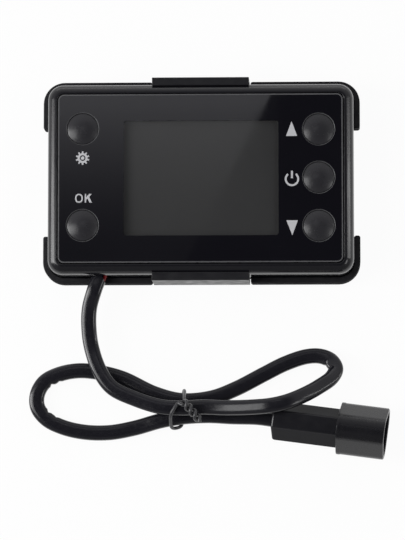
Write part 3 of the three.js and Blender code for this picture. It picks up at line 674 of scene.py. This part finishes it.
def dressed(piece, slot, body=CONTROLLER, stands_for=(), material=None, weighted=True):
    """The piece with its material, which the slot names unless another is given, its body, and the
    CAD nodes that it stands for hidden.
    """
    if weighted:
        piece.modifiers.new("flat_faces", "WEIGHTED_NORMAL").keep_sharp = True
    piece.data.materials.clear()
    piece.data.materials.append(MATERIALS[material or slot])
    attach(piece, body)
    if stands_for:
        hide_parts(*stands_for)
    return piece


NODE_SLOTS = {
    "back_shell": "case_plastic",
    "lcd_glass": "display_glass",
    "lcd_backlight": "backlight_plastic",
    "lcd_header": "black_component",
    "main_board": "board_laminate",
    "mcu_chip": "black_component",
    "voltage_regulator": "black_component",
    "capacitor": "can_aluminium",
    "board_socket": "ivory_nylon",
    "wire_plug": "ivory_nylon",
    "black_lead": "black_insulation",
    "blue_lead": "blue_insulation",
    "red_lead": "red_insulation",
    "terminal_lock": "seal_rubber_plastic",
    "wire_seal": "seal_rubber",
}
for stem in ("settings", "ok", "up", "power", "down"):
    NODE_SLOTS[f"{stem}_switch"] = NODE_SLOTS[f"{stem}_plunger"] = "black_component"
for stem, count, metal in (
    ("housing_screw", 4, "steel"),
    ("board_screw", 2, "steel"),
    ("terminal_pin", 3, "tinned_brass"),
):
    for number in range(count):
        NODE_SLOTS[f"{stem}_{number + 1}"] = metal
WELD = 0.001


def dress_nodes():
    """Materials for the CAD nodes that stay, whose round faces are smoothed by modifiers."""
    for name, slot_name in NODE_SLOTS.items():
        node = frame["nodes"][name]
        node.data.materials.clear()
        node.data.materials.append(MATERIALS[slot_name])
        node.data.polygons.foreach_set("use_smooth", [True] * len(node.data.polygons))
        weld = node.modifiers.new("weld", "WELD")
        weld.merge_threshold = WELD * MM
        split = node.modifiers.new("split", "EDGE_SPLIT")
        split.split_angle = math.radians(SHARP)


dress_nodes()
dressed(sleeve, "sleeve_vinyl", stands_for=["cord_sleeve"], weighted=False)

# ---------------------------------------------------------------- case, panel and buttons

FIT = 0.3  # clearance between pieces
BODY_WIDTH, BODY_HEIGHT, BODY_RADIUS, WALL = 96, 60, 4.8, 1.8
BEZEL_BOTTOM, RIM = 10.3, 16.2
SEAM_LIP_INSET, SEAM_LIP_Z = 0.9, 10.03  # keeps light out of the seam between the case's halves
LEDGE_BOTTOM, LEDGE_TOP = 13.2, 14.7
LENS_WIDTH, LENS_HEIGHT, LENS_RADIUS = 89, 53, 1.8  # 0.5 mm past the solid on each side
LENS_BOTTOM, LENS_TOP, LENS_BORDER = 15.0, 16.5, 0.4
GLASS = (59, 42.2, 0.3)  # width, height and corner radius
VIEW, VIEW_CENTRE = (48.5, 36.2, 0.9), (0.2, 0.05)
BUTTON_RADIUS, BUTTON_RIM, DOME = 4.85, 16.25, 0.9
CAP_LIP_RADIUS, CAP_LIP_BOTTOM, CAP_LIP_TOP = 5.65, 11.9, 12.9  # keeps a button in
HOLE_RADIUS, HOLE_SIDES, HOLE_CHAMFER = BUTTON_RADIUS + 0.13, 96, 0.2
BUTTONS = {
    "settings": (-36.85, 15.7),
    "ok": (-36.85, -14.75),
    "up": (37, 15.25),
    "power": (37, 0.1),
    "down": (37, -15.1),
}
BEZEL_EDGE = [  # inset and height: an upright side, a rounded slope and a nearly flat border
    (0, 12.0),
    (0.05, 12.9),
    (0.2, 13.8),
    (0.5, 14.6),
    (0.8, 15.02),
    (1.2, 15.42),
    (1.6, 15.74),
    (2.0, 15.97),
    (2.4, 16.12),
    (2.84, RIM),
]


def case_ring(inset, z, radius=None):
    corner = max(BODY_RADIUS - inset, 0.5) if radius is None else radius
    width, height = BODY_WIDTH - 2 * inset, BODY_HEIGHT - 2 * inset
    return [(x, y, z) for x, y in rounded_rectangle(width, height, corner)]


def flat_ring(width, height, radius, z):
    return [(x, y, z) for x, y in rounded_rectangle(width, height, radius)]


def front_bezel():
    soft, soft_steps = 0.35, 5  # rounding of the rim's edges
    lens_inset = (BODY_WIDTH - LENS_WIDTH) / 2 - FIT
    lens_corner = LENS_RADIUS + FIT
    wall_corner = BODY_RADIUS - WALL
    window = (GLASS[0] + 2 * FIT, GLASS[1] + 2 * FIT, GLASS[2] + FIT)
    edge, _ = resampled([(inset, height, 0) for inset, height in BEZEL_EDGE], 0.12)
    rings = [case_ring(soft, BEZEL_BOTTOM), case_ring(0, BEZEL_BOTTOM + soft)]
    rings += [case_ring(inset, height) for inset, height, _ in edge]
    for i in range(soft_steps + 1):
        angle = i / soft_steps * math.pi / 2
        inward = soft * (1 - math.sin(angle))
        height = RIM - soft * (1 - math.cos(angle))
        rings.append(case_ring(lens_inset - inward, height, lens_corner + inward))
    rings += [
        case_ring(lens_inset, LEDGE_TOP, lens_corner),
        flat_ring(*window, LEDGE_TOP),
        flat_ring(*window, LEDGE_BOTTOM),
        case_ring(WALL, LEDGE_BOTTOM, wall_corner),
        case_ring(WALL, SEAM_LIP_Z, wall_corner),
        case_ring(SEAM_LIP_INSET, SEAM_LIP_Z),
        case_ring(SEAM_LIP_INSET, BEZEL_BOTTOM),
    ]
    bezel = loft("bezel", rings, loop=True)
    past = 0.7
    low, high = LEDGE_BOTTOM - past, LEDGE_TOP + past
    cutters = [
        prism(f"cutter_{name}", [circle(centre, HOLE_RADIUS)], low, high, bevel=0)
        for name, centre in BUTTONS.items()
    ]
    boolean(bezel, joined("cutter", cutters), "DIFFERENCE")
    dressed(bezel, "case_plastic", stands_for=["front_bezel"])


def moved(points, centre):
    return [(x + centre[0], y + centre[1]) for x, y in points]


def front_lens():
    """The printed face, its border and the chamfers of its holes, both pale grey as a painted
    highlight on these edges, and the clear window.
    """
    window = moved(rounded_rectangle(*VIEW, steps=6), VIEW_CENTRE)
    outline = rounded_rectangle(LENS_WIDTH, LENS_HEIGHT, LENS_RADIUS, steps=8)
    border = offset(outline, LENS_BORDER)
    lip = HOLE_RADIUS + HOLE_CHAMFER
    holes = [circle(centre, lip, HOLE_SIDES)[::-1] for centre in BUTTONS.values()]
    loops = [border, *holes, window[::-1]]
    face = prism("lens_panel", loops, LENS_BOTTOM, LENS_TOP, bevel=0)
    dressed(face, "lens_acrylic", stands_for=["front_lens"], weighted=False)
    # the rim between the lens's outline and its border, whose pale grey paints the highlight along
    # the edge
    loops = [outline, border[::-1]]
    rim = prism("lens_edge_highlight", loops, LENS_BOTTOM, LENS_TOP, bevel=0.07, steps=1)
    dressed(rim, "lens_acrylic", material="lens_edge_highlight", weighted=False)
    section = [
        (lip, LENS_BOTTOM),
        (lip, LENS_TOP),
        (HOLE_RADIUS, LENS_TOP - HOLE_CHAMFER),
        (HOLE_RADIUS, LENS_BOTTOM),
    ]
    # each hole's chamfer ring is pale grey too: a painted highlight round each button
    for name, centre in BUTTONS.items():
        rings = [
            [(x, y, z) for x, y in circle(centre, radius, HOLE_SIDES)] for radius, z in section
        ]
        chamfer = loft(f"lens_chamfer_{name}", rings, loop=True)
        dressed(chamfer, "lens_acrylic", material="lens_edge_highlight", weighted=False)
    pane = prism("lens_pane", [offset(window, 0.001)], LENS_BOTTOM, LENS_TOP, bevel=0)
    dressed(pane, "lens_acrylic", material="lens_window", weighted=False)


def cap_profile():
    """A lip, an upright side, a rounded edge and a shallow dome."""
    lip_edge, edge, edge_steps, dome_steps = 0.1, 0.22, 6, 24
    profile = [
        (0, CAP_LIP_BOTTOM),
        (CAP_LIP_RADIUS - lip_edge, CAP_LIP_BOTTOM),
        (CAP_LIP_RADIUS, CAP_LIP_BOTTOM + lip_edge),
        (CAP_LIP_RADIUS, CAP_LIP_TOP),
        (BUTTON_RADIUS, CAP_LIP_TOP),
    ]
    slope = 2 * DOME / BUTTON_RADIUS
    for i in range(edge_steps + 1):
        angle = i / edge_steps * (math.pi / 2 - math.atan(slope))
        radius = BUTTON_RADIUS - edge * (1 - math.cos(angle))
        profile.append((radius, BUTTON_RIM - edge + edge * math.sin(angle)))
    rim_radius, rim_z = profile[-1]
    for i in range(1, dome_steps + 1):
        share = 1 - i / dome_steps
        profile.append((rim_radius * share, rim_z + DOME * (1 - share**2)))
    return profile


def buttons():
    for name, centre in BUTTONS.items():
        cap = lathe(f"{name}_cap", cap_profile(), centre)
        dressed(cap, "button_plastic", f"{name}_button_body", [f"{name}_button"])


front_bezel()
front_lens()
buttons()

# ---------------------------------------------------------------- bracket and latches

PLATE_BOTTOM, PLATE_TOP, WALL_TOP = 0.02, 2, 5.5
BRACKET_OUTER = (50, 32, 6.8)  # half width, half height and corner radius
BRACKET_INNER = (48.05, 30.05, 4.85)
SIDE_GAP, END_GAP = 17, 15.5  # half of each gap between the corner walls
PLATE_X, PLATE_Y = 46.5, 30
WALL_END, PLATE_NOTCH = 0.7, 0.6  # radii
SCREW_X, SCREW_Y, SCREW_RADIUS = 30, 15, 2.1
LATCH_WIDTH = 30.4
LATCH_PROFILE = [  # y, z and radius of each corner
    (30.3, FIT, 0.15),
    (32.0, FIT, 0.15),
    (32.0, 15.6, 0.35),
    (29.4, 15.6, 0.25),
    (29.4, 14.9, 0.2),
    (30.3, 13.6, 0.3),
]
YZ_ALONG_X = Matrix(((0, 0, 1, 0), (1, 0, 0, 0), (0, 1, 0, 0), (0, 0, 0, 1)))


def mirrored(points, sx, sy):
    turned = [(x * sx, y * sy) for x, y in points]
    return turned if sx * sy > 0 else turned[::-1]


def bracket():
    """A back plate with four lobes, and a wall round each corner."""
    outer_x, outer_y, outer_r = BRACKET_OUTER
    inner_x, inner_y, inner_r = BRACKET_INNER
    corner = arc((outer_x - outer_r, outer_y - outer_r), outer_r, 0, 90)
    inner = arc((inner_x - inner_r, inner_y - inner_r), inner_r, 90, 0)
    side_end = [(inner_x, SIDE_GAP), (outer_x, SIDE_GAP)]
    far_end = [(END_GAP, outer_y), (END_GAP, inner_y)]
    ends = [WALL_END, WALL_END]
    wall = fillet(
        [*side_end, *corner, *far_end, *inner],
        [*ends, *[0] * len(corner), *ends, *[0] * len(inner)],
    )
    half_wall = (outer_x - inner_x) / 2
    reach_x, reach_y, reach_r = (length - half_wall for length in BRACKET_OUTER)
    lobe = arc((reach_x - reach_r, reach_y - reach_r), reach_r, 0, 90)
    side_edge = [(PLATE_X, 0), (PLATE_X, SIDE_GAP), (reach_x, SIDE_GAP)]
    end_edge = [(END_GAP, reach_y), (END_GAP, PLATE_Y), (0, PLATE_Y)]
    notch = [0, PLATE_NOTCH, 0]
    quadrant = fillet([*side_edge, *lobe, *end_edge], [*notch, *[0] * len(lobe), *notch])
    outline = []
    for sx, sy in ((1, 1), (-1, 1), (-1, -1), (1, -1)):
        outline += mirrored(quadrant, sx, sy)[1:]
    quarters = [(sx, sy) for sx in (-1, 1) for sy in (-1, 1)]
    holes = [
        circle((sx * SCREW_X, sy * SCREW_Y), SCREW_RADIUS, 32)[::-1] for sx, sy in quarters
    ]
    tray = prism("bracket_tray", [outline, *holes], PLATE_BOTTOM, PLATE_TOP, bevel=0.2)
    for sx, sy in quarters:
        piece = prism(f"wall_{sx}_{sy}", [mirrored(wall, sx, sy)], 0, WALL_TOP, bevel=0.25)
        boolean(tray, piece, "UNION")
    dressed(tray, "bracket_plastic", stands_for=["mounting_bracket"])


def latch(name, side):
    """A tab with a hook at its top, on the upper side (1) or the lower one (-1)."""
    corners = [(y, z) for y, z, _ in LATCH_PROFILE]
    profile = fillet(corners, [radius for _, _, radius in LATCH_PROFILE])
    profile = [(side * y, z) for y, z in profile]
    if side < 0:
        profile.reverse()
    half = LATCH_WIDTH / 2
    piece = prism(f"{name}_tab", [profile], -half, half, bevel=0.12, place=YZ_ALONG_X)
    dressed(piece, "bracket_plastic", f"{name}_body", [name], material="latch_plastic")


bracket()
latch("top_latch", 1)
latch("bottom_latch", -1)

# ---------------------------------------------------------------- connector

CONNECTOR = Matrix(  # its shoulder is the origin and its mouth points along x
    (
        (0.98710, 0.13399, -0.08768, 42.9),
        (-0.13346, 0.99098, 0.01185, -77.6),
        (0.08847, 0, 0.99608, 6.8707),
        (0, 0, 0, 1),
    )
)
AXIAL = CONNECTOR @ YZ_ALONG_X
REAR_LENGTH, REAR_OVERLAP = 20.8, 1
REAR_SECTION = [(-6.1, -5), (6.1, -5), (6.1, -3.4), (2.75, 5.2), (-2.75, 5.2), (-6.1, -3.4)]
REAR_RADII = [0.9, 0.9, 0.9, 0.6, 0.6, 0.9]
POCKET, POCKET_DEPTH = (7.6, 6.0, 1.8), 4.0  # where the cord enters
SHROUD_SIDE, SHROUD_RADIUS, SHROUD_LENGTH, SHROUD_WALL = 6.4, 5.0, 15.0, 1.5
CAVITY_FLOOR = 2.0
SHROUD_PROFILE = [  # growth of the rounded triangle and place along the axis, to the cavity
    (-0.9, 0.0),
    (-0.25, 0.0),
    (-0.05, 0.1),
    (0, 0.3),
    (0, 1.1),
    (-0.12, 1.35),
    (-0.12, SHROUD_LENGTH - 0.4),
    (-0.25, SHROUD_LENGTH - 0.1),
    (-0.45, SHROUD_LENGTH),
    (-1.15, SHROUD_LENGTH),
    (-1.4, SHROUD_LENGTH - 0.2),
    (-SHROUD_WALL, SHROUD_LENGTH - 0.6),
    (-SHROUD_WALL, CAVITY_FLOOR + 0.2),
    (-SHROUD_WALL - 0.3, CAVITY_FLOOR),
]


def rounded_triangle(radius):
    reach = SHROUD_SIDE / math.sqrt(3)
    points = []
    for degrees in (90, 210, 330):
        centre = polar((0, 0), reach, math.radians(degrees))
        points += arc(centre, radius, degrees - 60, degrees + 60, steps=14)
    return points


def connector():
    """The faceted rear body, with a pocket for the cord, and the hollow shroud."""
    section = [fillet(REAR_SECTION, REAR_RADII)]
    rear = prism("connector_rear", section, -REAR_LENGTH, REAR_OVERLAP, bevel=0.8, place=AXIAL)
    mouth = [rounded_rectangle(*POCKET)]
    low, high = -REAR_LENGTH - 1, POCKET_DEPTH - REAR_LENGTH
    boolean(rear, prism("pocket", mouth, low, high, bevel=0, place=AXIAL), "DIFFERENCE")
    dressed(rear, "connector_nylon", stands_for=["connector_housing"])
    rings = []
    for growth, z in SHROUD_PROFILE:
        triangle = rounded_triangle(SHROUD_RADIUS + growth)
        rings.append([tuple(AXIAL @ Vector((x, y, z))) for x, y in triangle])
    shroud = loft("connector_shroud", rings)
    dressed(shroud, "connector_nylon", material="shroud_nylon")
    return [rear, shroud]


connector_pieces = connector()

# ---------------------------------------------------------------- tie

TIE_RADIUS, TIE_SIDES, TIE_STEP = 0.55, 14, 0.25
TIE_TURN = (0.24, 0.76)  # the turn round the cord, as shares of the wire, which is bent smoothly
TIE_SMOOTHING = 24
TIE_ROUTE = [
    (-0.47, -75.89, 12.06), (-0.31, -75.04, 12.13), (-0.25, -74.3, 11.7), (-0.54, -73.85, 11.01),
    (-1.21, -73.74, 10.48), (-2.07, -73.8, 10.4), (-2.82, -73.76, 10.84), (-3.22, -73.41, 11.52),
    (-3.25, -72.74, 12.06), (-3.08, -71.89, 12.13), (-3.02, -71.14, 11.7), (-3.31, -70.7, 11.01),
    (-3.98, -70.59, 10.48), (-4.84, -70.65, 10.4), (-5.59, -70.61, 10.84), (-7.2, -70.08, 9.97),
    (-7.98, -71.06, 10.14), (-8.67, -72.08, 10.05), (-9.2, -72.98, 9.76), (-9.52, -73.64, 9.32),
    (-9.58, -74.12, 8.84), (-9.38, -77.5, 4.19), (-8.91, -77.57, 3.71), (-8.22, -77.48, 3.24),
    (-7.37, -77.27, 2.76), (-6.44, -76.89, 2.29), (-6.28, -76.45, 1.8), (-6.2, -75.82, 1.36),
    (-6.12, -74.97, 1.03), (-6.03, -68.75, 0.8), (-5.95, -67.74, 0.92), (-5.87, -66.89, 1.25),
    (-5.78, -66.26, 1.69), (-5.7, -65.85, 2.18), (-5.62, -65.6, 2.69), (-5.53, -65.49, 3.21),
    (-5.45, -65.52, 3.73), (-5.37, -65.67, 4.25), (-5.28, -68.57, 8.97), (-5.2, -69.04, 9.45),
    (-4.41, -69.56, 11.7), (-4.46, -70.31, 12.13), (-4.63, -71.16, 12.06), (-4.61, -71.84, 11.52),
    (-4.21, -72.18, 10.84), (-3.46, -72.22, 10.4), (-2.6, -72.17, 10.48), (-1.93, -72.27, 11.01),
    (-1.63, -72.72, 11.7), (-1.69, -73.47, 12.13), (-1.86, -74.31, 12.06), (-1.84, -74.99, 11.52),
    (-1.44, -75.34, 10.84), (-0.69, -75.38, 10.4), (0.18, -75.32, 10.48),
]


def tie():
    line, _ = resampled(TIE_ROUTE, TIE_STEP)
    first, last = (round(len(line) * share) for share in TIE_TURN)
    for _ in range(TIE_SMOOTHING):
        inner = line[first - 1 : last + 1]
        line[first:last] = [(a + 2 * b + c) / 4 for a, b, c in zip(inner, inner[1:], inner[2:])]
    headings = tangents(line)
    section = circle((0, 0), TIE_RADIUS, TIE_SIDES)
    normal = headings[0].orthogonal().normalized()
    rings = []
    for point, heading in zip(line, headings):
        normal = (normal - heading * normal.dot(heading)).normalized()
        across = heading.cross(normal)
        rings.append([point + normal * a + across * b for a, b in section])
    piece = loft("tie_wire", rings, sharp=TUBE_SHARP)
    return dressed(piece, "tie_vinyl", stands_for=["cord_tie"], weighted=False)


tie_piece = tie()

# ---------------------------------------------------------------- marks on the panel

PRINT_LOW, PRINT_HIGH = 16.49, 16.52


def mark(name, loops):
    piece = prism(name, loops, PRINT_LOW, PRINT_HIGH, bevel=0.004, steps=1)
    dressed(piece, "lens_acrylic", material="print")


def gear(centre, radius=2.15, root=1.58, hole=0.9, dot=0.56, teeth=10):
    """Settings mark: a toothed ring with a dot in it."""
    foot, tip = 9.5, 6.5  # half a tooth in degrees
    points = []
    for i in range(teeth):
        middle = 90 + 360 * i / teeth
        for turn, reach in ((-foot, root), (-tip, radius), (tip, radius), (foot, root)):
            points.append(polar(centre, reach, math.radians(middle + turn)))
    mark("mark_gear", [points, circle(centre, hole, 40)[::-1]])
    mark("mark_gear_dot", [circle(centre, dot, 32)])


def power(centre, radius=1.95, stroke=0.6, top=2.6, bottom=0.25):
    """Power mark: an open ring with a bar in its gap."""
    start, end = 128, 412
    half = stroke / 2
    outer = arc(centre, radius + half, start, end, 60)
    inner = arc(centre, radius - half, end, start, 60)
    mark("mark_power_ring", [outer + inner])
    x, y = centre
    foot = [(x - half, y + bottom), (x + half, y + bottom)]
    mark("mark_power_bar", [[*foot, (x + half, y + top), (x - half, y + top)]])


def letters_ok(left, right, bottom, top, stroke=0.42):
    """Confirming mark: the letters O and K."""
    height, width_o, width_k = top - bottom, 2.42, 2.22
    centre = (left + width_o / 2, (top + bottom) / 2)
    sides, squareness = 56, 2.4
    outer = superellipse(centre, width_o, height, squareness, sides)
    hole = (width_o - 2.1 * stroke, height - 1.8 * stroke)
    inner = superellipse(centre, *hole, squareness, sides)
    mark("mark_letter_o", [outer, inner[::-1]])
    x = right - width_k
    stem = x + stroke
    letter_k = [
        (x, bottom),
        (stem, bottom),
        (stem, bottom + 0.85),
        (stem + 0.42, bottom + 1.32),
        (right - 0.72, bottom),
        (right + 0.02, bottom),
        (x + 1.42, bottom + 1.75),
        (right - 0.08, top),
        (right - 0.82, top),
        (stem, bottom + 1.68),
        (stem, top),
        (x, top),
    ]
    mark("mark_letter_k", [letter_k])


gear((-36.84, 6.43))
letters_ok(left=-39.15, right=-33.9, bottom=-7.62, top=-4.85)
mark("mark_up", [[(26.8, 13.1), (30.3, 13.1), (28.55, 17.75)]])
mark("mark_down", [[(28.7, -18.15), (30.45, -13.42), (26.87, -13.42)]])
power((28.63, -0.45))

# ---------------------------------------------------------------- studio

FLOOR_Z, FLOOR_REACH = -0.06, 3000
EVEN_SHARE = 0.95  # how much of the floor's look is its own, even white


def area_light(name, centre, aim, width, height, radiance):
    data = bpy.data.lights.new(name, "AREA")
    data.shape = "RECTANGLE"
    data.size, data.size_y = width * MM, height * MM
    data.energy = radiance * math.pi * width * height * MM * MM
    lamp = bpy.data.objects.new(name, data)
    bpy.context.scene.collection.objects.link(lamp)
    back = (Vector(centre) - Vector(aim)).normalized()
    turn = back.to_track_quat("Z", "Y").to_matrix().to_4x4()
    lamp.matrix_world = Matrix.Translation(Vector(centre) * MM) @ turn


def floor():
    """White paper: what the camera and reflections see of it is mostly even, the rest is lit."""
    made = Nodes("floor")
    grain = made.noise(3, detail=2)
    white = made.blend(grain, rgb(0.93, 0.93, 0.93), rgb(0.96, 0.96, 0.96))
    paper = made.node("ShaderNodeBsdfDiffuse", {"Color": white})
    glow = made.node("ShaderNodeEmission", {"Color": rgb(1, 1, 1), "Strength": 1.0})
    path = made.node("ShaderNodeLightPath").outputs
    seen = made.calculate("MAXIMUM", path["Is Camera Ray"], path["Is Glossy Ray"])
    seen = made.calculate("MAXIMUM", seen, path["Is Transmission Ray"])
    share = made.calculate("MULTIPLY", seen, EVEN_SHARE)
    signs = ((-1, -1), (1, -1), (1, 1), (-1, 1))
    corners = [(sx * FLOOR_REACH, sy * FLOOR_REACH, FLOOR_Z) for sx, sy in signs]
    plane = mesh_object("floor", corners, [(0, 1, 2, 3)])
    plane.data.materials.append(made.done(made.mix(share, paper, glow)))


def world():
    """A pale room, darker towards its ceiling and on the camera's side."""
    surroundings = bpy.data.worlds.new("room")
    surroundings.use_nodes = True
    tree = surroundings.node_tree
    background = tree.nodes["Background"]
    place = tree.nodes.new("ShaderNodeTexCoord")
    split = tree.nodes.new("ShaderNodeSeparateXYZ")
    ramp = tree.nodes.new("ShaderNodeValToRGB")
    stops = ramp.color_ramp.elements
    stops[0].position, stops[0].color = 0.0, rgb(0.6, 0.6, 0.6)
    stops[1].position, stops[1].color = 0.95, rgb(0.05, 0.05, 0.055)
    middle = stops.new(0.8)
    middle.color = rgb(0.42, 0.42, 0.43)
    side = tree.nodes.new("ShaderNodeMapRange")
    for key, value in {"From Min": -1, "From Max": 1, "To Min": 0.35, "To Max": 1.3}.items():
        side.inputs[key].default_value = value
    tree.links.new(place.outputs["Generated"], split.inputs[0])
    tree.links.new(split.outputs["Z"], ramp.inputs[0])
    tree.links.new(split.outputs["Y"], side.inputs[0])
    tree.links.new(ramp.outputs[0], background.inputs["Color"])
    tree.links.new(side.outputs[0], background.inputs["Strength"])
    bpy.context.scene.world = surroundings


CARD_Z = 616.5
CARD = [(-140, 145), (26.3, 145), (-37.1, 20), (-140, 20)]
CARD_DIM, CARD_BRIGHT = 0.04, 0.115  # metres up the card from which and to which its glow grows


def glare_card():
    """A card over the panel, which mirrors it up to its slanted edge. It glows most at its top."""
    made = Nodes("glare_card")
    up = made.node("ShaderNodeSeparateXYZ", {"Vector": made.place}).outputs["Y"]
    share = made.between(up, 0, 1, start=CARD_DIM, end=CARD_BRIGHT)
    bent = made.calculate("POWER", share, 2.0)
    strength = made.calculate("MULTIPLY_ADD", bent, 0.9, 0.1)
    glow = made.node("ShaderNodeEmission", {"Color": rgb(1, 1, 1.04), "Strength": strength})
    card = mesh_object("glare_card", [(x, y, CARD_Z) for x, y in CARD], [(3, 2, 1, 0)])
    card.data.materials.append(made.done(glow))


floor()
world()
glare_card()
area_light("left_softbox", (-650, -40, 300), (0, -40, 0), 300, 480, 6.0)
area_light("right_softbox", (650, 77, 300), (0, 77, 0), 64, 480, 4.8)
area_light("back_softbox", (0, 650, 230), (0, 0, 0), 900, 220, 0.3)
area_light("back_strip", (0, 650, 30), (0, 0, 16), 900, 60, 1.8)
area_light("left_key", (-430, -75, 480), (0, -30, 0), 270, 400, 3.2)
area_light("right_key", (470, -190, 500), (0, -30, 0), 240, 200, 3.0)

bpy.context.scene.view_settings.view_transform = "Standard"
